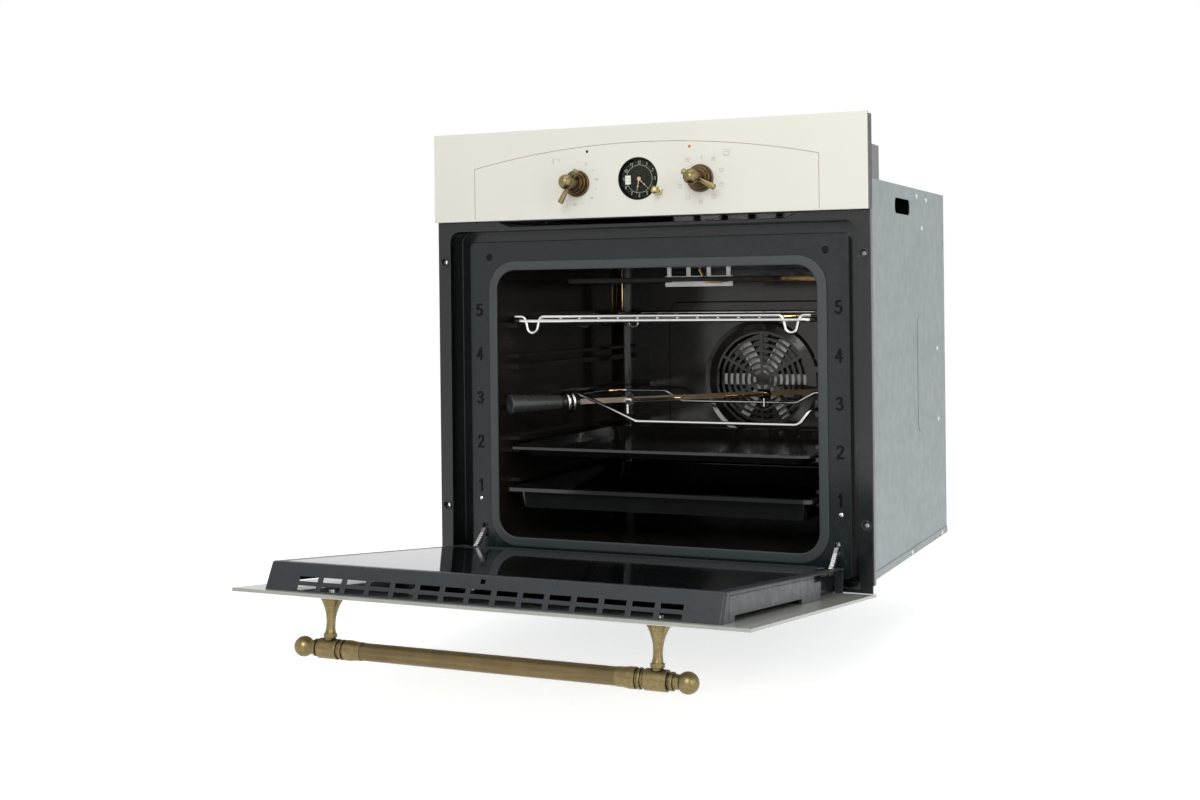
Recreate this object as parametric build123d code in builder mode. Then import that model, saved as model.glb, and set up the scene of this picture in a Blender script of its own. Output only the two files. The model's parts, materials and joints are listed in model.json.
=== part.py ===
from build123d import *
from math import acos, atan2, cos, degrees, pi, radians, sin, sqrt
import os

# Built-in electric oven with its drop-down door open.
# Frame in millimetres: X to the right, Y to the back, Z up. The origin is the middle of the niche
# shelf's front edge, under the housing. The parts are drawn with Y = 0 at the outer face of the front
# glass, and finish() moves each of them back by niche_y into the frame.

os.makedirs("parts", exist_ok=True)

# ---- Overall sizes ----
half_front = 297.5
panel_top = 577.5
panel_bottom = 460.0
glass_t = 4.0
sheet = 1.0
housing_inset = 19.5
half_housing = half_front - housing_inset
housing_top = 503.5
housing_rear = 517.5
niche_y = 20.0
tray_front = 14.0
through = 3.0

# ---- Front frame and face plate ----
frame_front = 10.0
frame_skin = 2.0
frame_wall = 1.5
frame_back = 45.5
frame_lap = 1.0
frame_top = panel_bottom + frame_lap
pillar_foot = 7.3
pillar_width = 17.5
rim_depth = 10.0
half_recess = half_front - pillar_width
frame_head = 13.5
recess_top = frame_top - frame_head
recess_foot = 3.0
foot_rail_low = -2.6
foot_rail_inset = 2.0
foot_rail_lap = 2.0
recess_radius = 15.0
back_hole_radius = 10.0
outlet_half_top = 205.0
outlet_half_foot = 190.0
outlet_drop = (8.5, 2.0)
outlet_z = (frame_top - outlet_drop[0], frame_top - outlet_drop[1])
duct_end = 150.0
fix_inset = 9.0
fix_x = half_front - fix_inset
fix_z = (79.0, 407.0)
fix_hole_r = 2.5
cup_r = 6.0
cup_rim_r = 6.9
cup_recess_r = 4.6
cup_depth = 7.0
cup_rim_t = 1.0
cup_floor = 2.0
plate_front = 36.0
plate_margin = 16.0
half_plate = half_recess - plate_margin
plate_foot = 8.0
plate_drop = 13.5
plate_z = (plate_foot, recess_top - plate_drop)
plate_radius = 8.0
plate_border = 41.0
half_opening = half_plate - plate_border
opening_foot = 37.0
opening_drop = 39.0
opening_z = (opening_foot, plate_z[1] - opening_drop)
opening_radius = 27.0
gasket_width = 12.5
gasket_t = 1.4
number_inset = 14.0
number_x = half_plate - number_inset
number_z = 105.0
number_step = 59.3
number_size = 15.0
number_stroke = 2.6
number_t = 1.0
number_strokes = [
    [(-0.15, 0.30), (0.03, 0.50), (0.03, -0.50)],
    [(-0.22, 0.30), (-0.14, 0.45), (0.0, 0.50), (0.16, 0.44), (0.22, 0.28), (0.16, 0.06), (-0.24, -0.50),
     (0.25, -0.50)],
    [(-0.22, 0.37), (-0.10, 0.49), (0.08, 0.48), (0.19, 0.34), (0.15, 0.14), (-0.04, 0.04), (0.16, -0.03),
     (0.25, -0.20), (0.16, -0.44), (-0.05, -0.50), (-0.24, -0.37)],
    [(0.10, -0.50), (0.10, 0.50), (-0.26, -0.20), (0.27, -0.20)],
    [(0.20, 0.50), (-0.15, 0.50), (-0.19, 0.08), (0.02, 0.12), (0.20, 0.02), (0.24, -0.20), (0.14, -0.43),
     (-0.06, -0.50), (-0.24, -0.38)],
]
plug_inset = (30.0, 21.0)
plug_x = half_plate - plug_inset[0]
plug_z = plate_z[1] - plug_inset[1]
plug_r = 4.5
plug_t = 1.2
plate_screw_inset = 13.5
plate_screw_x = half_plate - plate_screw_inset
plate_screw_z = 87.0
plate_screw_r = 2.6

# ---- Cavity ----
cavity_lip = 1.0
half_cavity = half_opening + cavity_lip
cavity_z = (opening_z[0] - cavity_lip, opening_z[1] + cavity_lip)
rear_space = 61.5
cavity_rear = housing_rear - rear_space
cover_gap = 20.0
cover_front = cavity_rear - cover_gap
liner_t = 1.2
cavity_corner = 20.0
rail_first = 98.0
rail_step = 56.4
rail_count = 5
rail_depth = 15.0
rail_t = 7.0
guide_gap = 9.5
guide_t = 4.5
rail_start = 70.0
rail_gap = 6.0
rail_y = (rail_start, cover_front - rail_gap)
seat_gap = 0.1

# ---- Rear cover, fan and heating ----
cover_t = 1.5
cover_margin = (58.0, 22.0, 4.0)
cover_x = (cover_margin[0] - half_cavity, half_cavity - cover_margin[1])
cover_z = (cavity_z[0] + cover_margin[2], cavity_z[1] - cover_margin[2])
plateau_t = 2.0
plateau_slope = 45.0
plateau_margin = (33.0, 22.0, 43.0)
plateau_x = (cover_x[0] + plateau_margin[0], cover_x[1] - plateau_margin[0])
plateau_z = (cover_z[0] + plateau_margin[1], cover_z[1] - plateau_margin[2])
plateau_corner = 14.0
fan_x = sum(plateau_x) / 2
fan_z = 229.5
slot_first_r = 12.0
slot_pitch = 9.2
slot_width = 5.4
slot_rings = 7
spoke_width = 4.4
spoke_count = 6
spoke_start = 30.0
dish_r = (73.0, 85.0, 91.0)
grille_r = 81.0
fan_r = 66.0
fan_disc_r = 21.0
fan_blades = 6
fan_arm_w = 16.0
fan_blade_t = 1.2
fan_gap = 5.0
fan_back_gap = 3.8
fan_disc_y = (cavity_rear - fan_back_gap - fan_blade_t, cavity_rear - fan_back_gap)
fan_blade_y = (cover_front + fan_gap, fan_disc_y[0])
fan_hub_r = 9.0
fan_shaft_r = 4.0
fan_motor_r = 32.0
motor_gap = 17.5
fan_motor_end = housing_rear - motor_gap
fan_motor_plate = 42.0
fan_motor_plate_t = 2.0
run_fit = 0.05
rod_r = 3.2
rod_drop = 16.0
rod_z = cavity_z[1] - rod_drop
rod_leg_x = 42.0
rod_mid_x = 96.0
rod_out_x = 150.0
rod_margin = (36.0, 14.0)
rod_y = (100.0, 125.0, cover_front - rod_margin[0], cavity_rear + rod_margin[1])
rod_bend = 18.0
rod_hole_gap = 1.6
bracket_y = 215.0
bracket_half = 50.0
bracket_drop = (25.0, 10.5)
bracket_z = (cavity_z[1] - bracket_drop[0], cavity_z[1] - bracket_drop[1])
bracket_t = 1.5
bracket_leg_x = (-44.0, -15.0, 15.0, 44.0)
bracket_leg_w = 6.0
bulb_r = 2.0
bulb_drop = (0.9, 18.5, 19.0)
bulb_points = [
    (x, 208.0, cavity_z[1] - drop) for x, drop in zip((4.0, 12.0, 36.0), bulb_drop)
]
bulb_bend = 5.0
lamp_y = 250.0
lamp_drop = 30.0
lamp_z = cavity_z[1] - lamp_drop
lamp_hole_r = 20.0
lamp_gap = 0.3
lamp_dome = 7.0
lamp_holder_r = 23.0
lamp_holder_depth = 28.0
wool_gap = (16.0, 29.0, 1.0)
wool_half = half_housing - wool_gap[0]
wool_top = cavity_z[1] + wool_gap[1]
wool_y = (64.0, cavity_rear - wool_gap[2])
lamp_pocket = 27.0

# ---- Housing details ----
flange_top = 9.5
carry_y = (215.0, 300.0)
carry_drop = (39.0, 18.0)
carry_z = (housing_top - carry_drop[0], housing_top - carry_drop[1])
carry_radius = 8.0
bead_y = (338.0, 392.0)
bead_z = (165.0, 325.0)
bead_t = 0.6
bead_radius = 12.0
screw_spots = [(338.0, 493.0), (397.0, 490.5), (368.0, 449.5), (460.0, 277.0), (463.0, 174.0)]
lip_screw_y = (286.0, 477.0)
lip_screw_z = 5.0
screw_head_r = 3.6
screw_head_t = 2.0
screw_shank_r = 1.6
screw_length = 5.0
top_rib_x = (-180.0, -60.0, 60.0, 180.0)
top_rib_y = (90.0, 470.0)
top_rib_w = 14.0
vent_rows = 4
vent_count = 7
vent_size = (34.0, 5.0)
vent_pitch = (46.0, 14.0)
vent_centre = (0.0, 455.0)
terminal_x = (150.0, 226.0)
terminal_z = (380.0, 432.0)
terminal_t = 12.0
gland_r = 9.0
gland_bore_r = 5.0
gland_length = 10.0
edge_r = 3.0

# ---- Control panel ----
knob_x = 85.0
knob_rise = 45.0
knob_z = panel_bottom + knob_rise
carrier_back = 6.5
carrier_wall = 2.5
carrier_depth = 26.5
carrier_inset = 1.5
carrier_half = half_front - carrier_inset
carrier_z = (frame_top, panel_top - carrier_inset)
panel_hole_r = 6.0
carrier_hole_r = 5.2
rosette_steps = [(17.3, 4.0), (14.4, 8.5), (11.4, 12.0)]
rosette_bore = 4.5
knob_shaft_r = 4.0
knob_shaft_end = 22.0
collar_r = 7.2
collar_start = 12.3
ball_y = 34.5
knob_ball_r = 9.6
lever_y = 21.0
lever_r = 2.6
lever_tip_r = 3.8
lever_long = 29.5
lever_short = 18.5
lever_left = (-0.500, -0.866)
lever_right = (0.885, -0.465)
switch_half = 17.0
switch_back = 38.0
switch_bore = 24.0
light_x = 70.5
light_drop = 32.0
light_z = panel_top - light_drop
light_r = 1.8
light_gap = 0.1
light_proud = 0.3
clock_rise = 48.0
clock_z = panel_bottom + clock_rise
clock_r = 27.0
clock_gap = 0.3
clock_proud = 0.4
clock_seat_r = 25.6
clock_face_r = 24.6
lens_y = (0.4, 1.6)
dial_y = 5.0
movement_x = (-32.0, 36.0)
movement_reach = (26.0, 30.0)
movement_z = (clock_z - movement_reach[0], clock_z + movement_reach[1])
movement_back = 34.0
hour_y = (3.6, 4.0)
minute_y = (2.4, 2.8)
hour_length = 19.5
minute_length = 22.0
hour_angle = 191.0
minute_angle = 134.0
hand_w = 1.1
diamond = 2.6
diamond_at = 0.5
hour_hub_r = 1.7
minute_hub_r = 0.8
hub_end = 8.0
setting_x = 28.5
setting_drop = 16.5
setting_z = clock_z - setting_drop
setting_shaft_r = 2.4
setting_hole_r = 2.8
setting_end = 24.0
setting_flange = (5.2, 3.0)
setting_neck = (3.3, 10.5)
setting_ball_r = 4.7
setting_ball_y = 14.0
setting_lift = 0.5
stay_t = 1.5
stay_x = (half_housing - sheet - stay_t, half_housing - sheet)
stay_y = 136.0
stay_drop = 30.5
stay_top = panel_top - stay_drop
stay_foot = 14.0

# ---- Door, in a frame on its hinge axis: x along X, y up the door, z out of its front ----
pivot_y = 8.0
pivot_z = 1.2
door_open = 83.86
door_plane = Plane(
    origin=(0, pivot_y, pivot_z),
    x_dir=(1, 0, 0),
    z_dir=(0, -cos(radians(door_open)), -sin(radians(door_open))),
)
door_foot = -11.6
door_gap = 2.0
door_top = panel_bottom - door_gap - pivot_z
glass_out = pivot_y
glass_in = pivot_y - glass_t
liner_margin = (16.0, 12.0)
liner_lean = 12.0
half_liner = half_recess - liner_margin[0]
liner_y = (5.8, door_top - liner_margin[1])
liner_in = -26.0
liner_sheet = 1.5
pocket_depth = 4.0
pocket_margin = (13.0, 10.0)
pocket_half = half_liner - pocket_margin[0]
pocket_y = (58.0, liner_y[1] - liner_lean - pocket_margin[1])
pocket_gap = 0.5
window_margin = (19.0, 18.0, 19.0)
window_half = pocket_half - window_margin[0]
window_y = (pocket_y[0] + window_margin[1], pocket_y[1] - window_margin[2])
vent_slot = (24.0, 5.0)
vent_slot_pitch = 30.07
vent_slot_count = 15
vent_slot_z = (0.0, -9.3)
catch_hole = (6.0, 4.5)
catch_hole_z = -19.5
side_end_y = (112.0, 140.0)
side_step_z = -17.0
side_notch = ((185.0, 408.0), -2.0)
seam_y = 426.0
seam_z = -21.6
seam_w = 0.8
seam_depth = 0.6
hinge_inset = 35.0
hinge_x = half_recess - hinge_inset
hinge_slot_half = 6.0
hinge_slot_top = 56.0
arm_t = 5.0
arm_eye_r = 3.6
arm_half = 3.4
arm_points = [(8.2, 24.0), (34.0, 44.5), (60.0, 44.5)]
notch_r = 1.1
notch_first = 5.0
notch_pitch = 3.6
notch_count = 6
pin_r = 2.4
pin_half = 5.4
cheek_in = 2.8
cheek_t = 2.0
cheek_eye_r = 3.4
cheek_wide_y = 7.0
cheek_wide_z = -18.0
cheek_foot_y = (66.0, 150.0)
plate_slot_half = 3.6
plate_slot_z = (36.0, 53.0)
receiver_half = 7.0
receiver_y = (45.5, 62.0)
receiver_z = (34.0, 58.0)

# ---- Handle ----
handle_drop = 34.2
handle_y = door_top - handle_drop
handle_z = 64.3
post_x = 190.5
bar_r = 9.5
bar_bore_r = 8.0
bar_half = 148.0
tee_r = 11.0
ferrule_profile = [
    (148.0, 9.9), (156.0, 10.2), (162.0, 11.0), (168.4, 11.0), (169.0, 10.4), (169.0, 9.2),
    (171.6, 9.2), (171.6, 10.3), (172.4, 10.9), (173.8, 10.9), (174.6, 10.3), (174.6, 9.2),
    (178.2, 9.2), (178.2, 10.3), (178.9, tee_r), (201.8, tee_r), (202.5, 10.3),
]
finial_profile = [
    (202.5, 8.0), (205.2, 8.0), (205.2, 9.0), (205.8, 9.5), (208.0, 9.5), (208.6, 9.0),
    (208.6, 7.6),
]
finial_x = 223.0
finial_r = 11.2
finial_seat = finial_x - sqrt(finial_r**2 - finial_profile[-1][1] ** 2)
post_base_r = 14.9
post_curve = (14.5, 7.2)
post_waist = (29.0, 4.9)
post_swell = (35.0, 5.2)
post_collar = (40.0, 44.0, 7.4)
post_neck_r = 6.1
post_end = 49.0
post_bore_r = 2.5
post_bore_depth = 16.0
handle_screw_r = 2.45
handle_screw_head = (4.6, 2.6)
glass_hole_r = 3.2

# ---- Shelves ----
pan_gap = (6.0, 30.0)
pan_half = half_cavity - pan_gap[0]
pan_front = plate_front
pan_depth = cover_front - pan_gap[1] - pan_front
pan_lip = 12.0
pan_t = 1.2
pan_lip_drop = 4.8
tray_lip_drop = 3.4
deep_height = 28.0
deep_taper = 16.0
deep_corner = 16.0
shallow_height = 13.0
shallow_taper = 38.0
shallow_corner = 24.0
grid_gap = (10.0, 26.0)
grid_half = half_cavity - grid_gap[0]
grid_y = (60.0, cover_front - grid_gap[1])
grid_rod_r = 2.7
grid_wire_r = 1.6
grid_wires = 13
grid_wire_margin = 46.0
grid_wire_half = grid_half - grid_wire_margin
grid_corner = 16.0
grid_bite = 0.4
hook_inset = (32.0, 6.0)
hook_x = grid_half - hook_inset[0]
hook_half = 11.5
hook_foot = 6.0
hook_drop = 22.0
hook_end_x = grid_half - hook_inset[1]
hook_r = 2.2
hook_bend = 7.4

# ---- Rotisserie ----
spit_z = 214.0
spit_gap = 13.5
spit_start = (spit_gap - half_cavity, 44.5)
spit_end = (125.0, cover_front)
spit_run = sqrt((spit_end[0] - spit_start[0]) ** 2 + (spit_end[1] - spit_start[1]) ** 2)
spit_dir = ((spit_end[0] - spit_start[0]) / spit_run, (spit_end[1] - spit_start[1]) / spit_run)
spit_plane = Plane(
    origin=(spit_start[0], spit_start[1], spit_z),
    x_dir=(spit_dir[0], spit_dir[1], 0),
    z_dir=(0, 0, 1),
)
grip_profile = [(0.0, 12.3), (1.0, 13.2), (5.0, 13.2), (5.0, 12.6), (74.0, 10.0), (77.0, 8.6)]
grip_dimple = (8.0, 2.5)
journal_r = 9.7
journal_x = (77.0, 101.0)
spit_half = 3.5
spit_stop = 522.0
sleeve_r = 8.0
sleeve_x = (500.0, 565.0)
sleeve_socket = 26.0
sleeve_hole_r = 13.5
gearbox_plan = [(118.0, 457.2), (184.0, 457.2), (200.0, 474.0), (172.0, 504.0), (134.0, 476.0)]
gearbox_half = 20.0
coil_x = (82.5, 97.5)
coil_turns = 2
coil_r = 12.6
wire_r = 2.4
cradle_half = grid_half
cradle_low_front = 194.0
cradle_low_rear = 198.0
cradle_y = (60.0, 395.0)
cradle_inset = (24.0, 9.0)
cradle_front_x = (-30.0, cradle_half - cradle_inset[0])
cradle_rear_x = (-96.0, 84.0)
cradle_rise = 28.0
cradle_step_x = cradle_half - cradle_inset[1]
cradle_side_y = (80.0, 150.0, 236.0, 372.0)
cradle_bend = 12.0
weld_gap = 1.0
weld_r = 3.1
weld_half = 3.0
fork_x = (178.0, 400.0)
fork_hub = (13.0, 13.0)
fork_hub_half_z = 6.5
fork_reach = 15.0
fork_tine_r = 2.0
fork_tine_length = 78.0
fork_screw_r = 2.5
fork_screw_drop = 20.0
fork_bar_half = 7.0
fork_bar_r = 2.2


def front_plane(y):
    """A plane at depth y that faces the front: local x is X and local y is Z."""
    return Plane(origin=(0, y, 0), x_dir=(1, 0, 0), z_dir=(0, -1, 0))


def side_plane(x):
    """A plane at x that faces right: local x is Y and local y is Z."""
    return Plane(origin=(x, 0, 0), x_dir=(0, 1, 0), z_dir=(1, 0, 0))


def spread(limits, sign=1):
    """Two limits, mirrored if sign is -1, in rising order."""
    return tuple(sorted(sign * value for value in limits))


def block(x, y, z, mode=Mode.ADD):
    """A box between two limits along each axis of the current plane."""
    middle = [(low + high) / 2 for low, high in (x, y, z)]
    with Locations(tuple(middle)):
        Box(x[1] - x[0], y[1] - y[0], z[1] - z[0], mode=mode)


def rounded(x, y, radius, mode=Mode.ADD):
    """A rounded rectangle between two limits, in a sketch."""
    with Locations(((x[0] + x[1]) / 2, (y[0] + y[1]) / 2)):
        RectangleRounded(x[1] - x[0], y[1] - y[0], radius, mode=mode)


def turned(plane, profile, mode=Mode.ADD):
    """A turned solid: the profile gives (place along the plane's x axis, radius)."""
    points = [(profile[0][0], 0)] + list(profile) + [(profile[-1][0], 0)]
    with BuildSketch(plane) as outline:
        with BuildLine():
            Polyline(*points, close=True)
        make_face()
    revolve(outline.sketch, axis=Axis(plane.origin, plane.x_dir), mode=mode)


def rod(plane, start, end, radius, mode=Mode.ADD):
    """A round rod along the plane's x axis."""
    turned(plane, [(start, radius), (end, radius)], mode=mode)


def out_plane(x, z):
    """A turning plane whose x axis comes straight out of the front at (x, z)."""
    return Plane(origin=(x, 0, z), x_dir=(0, -1, 0), z_dir=(1, 0, 0))


def axis_plane(origin, direction):
    """A turning plane whose x axis starts at origin and runs along direction."""
    direction = Vector(*direction).normalized()
    side = Vector(0, 0, 1) if abs(direction.Z) < 0.9 else Vector(0, 1, 0)
    return Plane(origin=origin, x_dir=direction, z_dir=direction.cross(side))


def bent_path(points, radius, close=False):
    """Straight runs joined by tangent arcs. It adds its edges to the open line."""
    spots = [Vector(*point) for point in points]
    count = len(spots)
    bends = {}
    for i in range(count):
        if not close and i in (0, count - 1):
            continue
        back = (spots[i - 1] - spots[i]).normalized()
        ahead = (spots[(i + 1) % count] - spots[i]).normalized()
        half = acos(max(-1.0, min(1.0, back.dot(ahead)))) / 2
        reach = radius / (sin(half) / cos(half))
        bisector = (back + ahead).normalized()
        middle = spots[i] + bisector * (radius / sin(half) - radius)
        bends[i] = (spots[i] + back * reach, middle, spots[i] + ahead * reach)
    last = count if close else count - 1
    for i in range(last):
        following = (i + 1) % count
        start = bends[i][2] if i in bends else spots[i]
        end = bends[following][0] if following in bends else spots[following]
        Line(start, end)
        if following in bends:
            ThreePointArc(*bends[following])


def tube_on(path, radius):
    """A round tube swept along a line built before it."""
    with BuildSketch(Plane(origin=path.line @ 0, z_dir=path.line % 0)) as section:
        Circle(radius)
    sweep(section.sketch, path=path.line)


def finish(builder, name):
    """Labels a part and writes its file."""
    placed = builder.part.moved(Location((0, -niche_y, 0)))
    placed.label = name
    export_step(placed, f"parts/{name}.step")


# ---- Housing ----
for side, sign in (("left", -1), ("right", 1)):
    with BuildPart() as side_panel:
        block(
            spread((half_housing - sheet, half_housing), sign),
            (frame_back, housing_rear),
            (sheet, housing_top - sheet),
        )
        outer_face = sign * half_housing
        with BuildSketch(side_plane(outer_face)):
            rounded(bead_y, bead_z, bead_radius)
        extrude(amount=sign * bead_t)
        with BuildSketch(side_plane(outer_face)):
            rounded(carry_y, carry_z, carry_radius)
        extrude(amount=-sign * sheet * 2, mode=Mode.SUBTRACT)
        with BuildSketch(side_plane(outer_face)):
            with Locations(*screw_spots):
                Circle(screw_shank_r)
            with Locations(*[(y, lip_screw_z) for y in lip_screw_y]):
                Circle(screw_shank_r)
        extrude(amount=-sign * sheet * 2, mode=Mode.SUBTRACT)
    finish(side_panel, f"side_panel_{side}")

with BuildPart() as base_tray:
    tray_half = half_housing + sheet
    block((-tray_half, tray_half), (frame_back, housing_rear), (0, sheet))
    block((-half_housing, half_housing), (tray_front, frame_back), (0, sheet))
    for sign in (-1, 1):
        block(spread((half_housing, tray_half), sign), (frame_back, housing_rear), (sheet, flange_top))
        with BuildSketch(side_plane(sign * tray_half)):
            with Locations(*[(y, lip_screw_z) for y in lip_screw_y]):
                Circle(screw_shank_r)
        extrude(amount=-sign * sheet, mode=Mode.SUBTRACT)
    fillet(base_tray.edges().filter_by(Axis.X).group_by(Axis.Z)[-1].group_by(Axis.Y)[-1], edge_r)
finish(base_tray, "base_tray")

with BuildPart() as rear_panel:
    inside_half = half_housing - sheet
    block((-inside_half, inside_half), (housing_rear - sheet, housing_rear), (sheet, housing_top - sheet))
    with BuildSketch(front_plane(housing_rear)):
        with Locations(vent_centre):
            with GridLocations(vent_pitch[0], vent_pitch[1], vent_count, vent_rows):
                SlotOverall(vent_size[0], vent_size[1])
    extrude(amount=sheet, mode=Mode.SUBTRACT)
finish(rear_panel, "rear_panel")

with BuildPart() as top_cover:
    block((-half_housing, half_housing), (frame_back, housing_rear), (housing_top - sheet, housing_top))
    with BuildSketch(Plane.XY.offset(housing_top)):
        for x in top_rib_x:
            rounded((x - top_rib_w / 2, x + top_rib_w / 2), top_rib_y, edge_r * 2)
    extrude(amount=bead_t)
finish(top_cover, "top_cover")

with BuildPart() as housing_screws:
    spots = [(half_housing, y, z) for y, z in screw_spots]
    spots += [(half_housing + sheet, y, lip_screw_z) for y in lip_screw_y]
    for face, y, z in spots:
        for sign in (-1, 1):
            turned(
                Plane(origin=(sign * face, y, z), x_dir=(sign, 0, 0), z_dir=(0, 1, 0)),
                [
                    (-screw_length, screw_shank_r),
                    (0, screw_shank_r),
                    (0, screw_head_r),
                    (screw_head_t / 2, screw_head_r),
                    (screw_head_t, screw_head_r / 2),
                ],
            )
finish(housing_screws, "housing_screws")

with BuildPart() as terminal_box:
    block(terminal_x, (housing_rear, housing_rear + terminal_t), terminal_z)
    fillet(terminal_box.edges().filter_by(Axis.Y), edge_r)
    gland = Plane(
        origin=(sum(terminal_x) / 2, housing_rear + terminal_t / 2, terminal_z[0]),
        x_dir=(0, 0, -1),
        z_dir=(1, 0, 0),
    )
    rod(gland, 0, gland_length, terminal_t / 2)
    rod(gland, -through, gland_length, gland_bore_r / 2, mode=Mode.SUBTRACT)
finish(terminal_box, "terminal_box")

# ---- Front frame ----
with BuildPart() as front_frame:
    block((-half_front, half_front), (frame_front, frame_front + frame_skin), (pillar_foot, frame_top))
    collar_half = half_recess + frame_wall
    collar_top = recess_top + frame_wall
    collar_foot = recess_foot - frame_wall
    with BuildSketch(front_plane(frame_back)):
        rounded((-collar_half, collar_half), (collar_foot, collar_top), recess_radius + frame_wall)
    extrude(amount=frame_back - frame_front - frame_skin)
    with BuildSketch(front_plane(frame_back - frame_wall)):
        rounded((-half_recess, half_recess), (recess_foot, recess_top), recess_radius)
    extrude(amount=frame_back, mode=Mode.SUBTRACT)
    block((-half_recess, half_recess), (0, frame_front + frame_skin), (0, recess_top / 2), mode=Mode.SUBTRACT)
    back_hole = half_opening + gasket_width - frame_wall * 2
    with BuildSketch(front_plane(frame_back)):
        rounded(
            (-back_hole, back_hole),
            (opening_z[0] - through * 2, opening_z[1] + through * 2),
            back_hole_radius,
        )
        for sign in (-1, 1):
            with Locations((sign * hinge_x, sum(plate_slot_z) / 2)):
                Rectangle(plate_slot_half * 2, plate_slot_z[1] - plate_slot_z[0])
    extrude(amount=frame_wall, mode=Mode.SUBTRACT)
    for sign in (-1, 1):
        rim_x = spread((half_front - frame_wall, half_front), sign)
        block(rim_x, (frame_front, frame_front + rim_depth), (pillar_foot, frame_top))
    skin_back = frame_front + frame_skin
    foot_half = half_front - foot_rail_inset
    rail_span = (skin_back, skin_back + frame_wall)
    block((-foot_half, foot_half), rail_span, (foot_rail_low, recess_foot))
    for sign in (-1, 1):
        block(spread((half_recess, foot_half), sign), rail_span, (foot_rail_low, pillar_foot + foot_rail_lap))
    duct_half = outlet_half_top + sheet
    block((-duct_half, duct_half), (skin_back, duct_end), (outlet_z[0] - sheet, outlet_z[1] + sheet))
    block((-outlet_half_top, outlet_half_top), (skin_back, duct_end + through), outlet_z, mode=Mode.SUBTRACT)
    with BuildSketch(front_plane(frame_front + frame_skin)):
        with BuildLine():
            Polyline(
                (-outlet_half_top, outlet_z[1]),
                (outlet_half_top, outlet_z[1]),
                (outlet_half_foot, outlet_z[0]),
                (-outlet_half_foot, outlet_z[0]),
                close=True,
            )
        make_face()
        with Locations(*[(sign * fix_x, z) for sign in (-1, 1) for z in fix_z]):
            Circle(cup_r)
    extrude(amount=frame_skin, mode=Mode.SUBTRACT)
finish(front_frame, "front_frame")

with BuildPart() as fixing_cups:
    for sign in (-1, 1):
        for z in fix_z:
            cup = Plane(origin=(sign * fix_x, frame_front, z), x_dir=(0, 1, 0), z_dir=(1, 0, 0))
            turned(cup, [(-cup_rim_t, cup_rim_r), (0, cup_rim_r), (0, cup_r), (cup_depth, cup_r)])
            rod(cup, -cup_rim_t, cup_depth - cup_floor, cup_recess_r, mode=Mode.SUBTRACT)
            rod(cup, 0, cup_depth + through, fix_hole_r, mode=Mode.SUBTRACT)
finish(fixing_cups, "fixing_cups")

with BuildPart() as face_plate:
    plate_back = frame_back - frame_wall
    with BuildSketch(front_plane(plate_back)):
        rounded((-half_plate, half_plate), plate_z, plate_radius)
    extrude(amount=plate_back - plate_front)
    with BuildSketch(front_plane(plate_back)):
        rounded(
            (-half_plate + frame_wall, half_plate - frame_wall),
            (plate_z[0] + frame_wall, plate_z[1] - frame_wall),
            plate_radius - frame_wall,
        )
    extrude(amount=plate_back - plate_front - frame_wall, mode=Mode.SUBTRACT)
    with BuildSketch(front_plane(plate_back)):
        rounded((-half_opening, half_opening), opening_z, opening_radius)
        for sign in (-1, 1):
            with Locations((sign * hinge_x, sum(plate_slot_z) / 2)):
                Rectangle(plate_slot_half * 2, plate_slot_z[1] - plate_slot_z[0])
    extrude(amount=plate_back, mode=Mode.SUBTRACT)
finish(face_plate, "face_plate")

with BuildPart() as opening_gasket:
    with BuildSketch(front_plane(plate_front)):
        rounded(
            (-half_opening - gasket_width, half_opening + gasket_width),
            (opening_z[0] - gasket_width, opening_z[1] + gasket_width),
            opening_radius + gasket_width,
        )
        rounded((-half_opening, half_opening), opening_z, opening_radius, mode=Mode.SUBTRACT)
    extrude(amount=gasket_t)
    fillet(opening_gasket.faces().sort_by(Axis.Y)[0].edges(), gasket_t / through)
finish(opening_gasket, "opening_gasket")

with BuildPart() as level_numbers:
    with BuildSketch(front_plane(plate_front)):
        for level, stroke in enumerate(number_strokes):
            for sign in (-1, 1):
                with Locations((sign * number_x, number_z + number_step * level)):
                    for start, end in zip(stroke, stroke[1:]):
                        across = (end[0] - start[0]) * number_size
                        rise = (end[1] - start[1]) * number_size
                        middle = [(a + b) / 2 * number_size for a, b in zip(start, end)]
                        with Locations(tuple(middle)):
                            SlotCenterToCenter(
                                sqrt(across**2 + rise**2), number_stroke, rotation=degrees(atan2(rise, across))
                            )
    extrude(amount=number_t)
finish(level_numbers, "level_numbers")

with BuildPart() as plate_fasteners:
    for sign in (-1, 1):
        plug = Plane(origin=(sign * plug_x, plate_front, plug_z), x_dir=(0, -1, 0), z_dir=(1, 0, 0))
        turned(plug, [(0, plug_r), (plug_t / 2, plug_r), (plug_t, plug_r * 0.8)])
        screw = Plane(
            origin=(sign * plate_screw_x, plate_front, plate_screw_z), x_dir=(0, -1, 0), z_dir=(1, 0, 0)
        )
        turned(screw, [(0, plate_screw_r), (plug_t / 2, plate_screw_r), (plug_t, plate_screw_r / 2)])
finish(plate_fasteners, "plate_fasteners")

# ---- Cavity liner with pressed rails ----
liner_front = plate_front + frame_wall
liner_half = half_cavity + liner_t
liner_z = (cavity_z[0] - liner_t, cavity_z[1] + liner_t)
with BuildPart() as hollow:
    block((-half_cavity, half_cavity), (liner_front - through, cavity_rear), cavity_z)
    fillet(hollow.edges().filter_by(Axis.Z).group_by(Axis.Y)[-1], cavity_corner)

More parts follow.
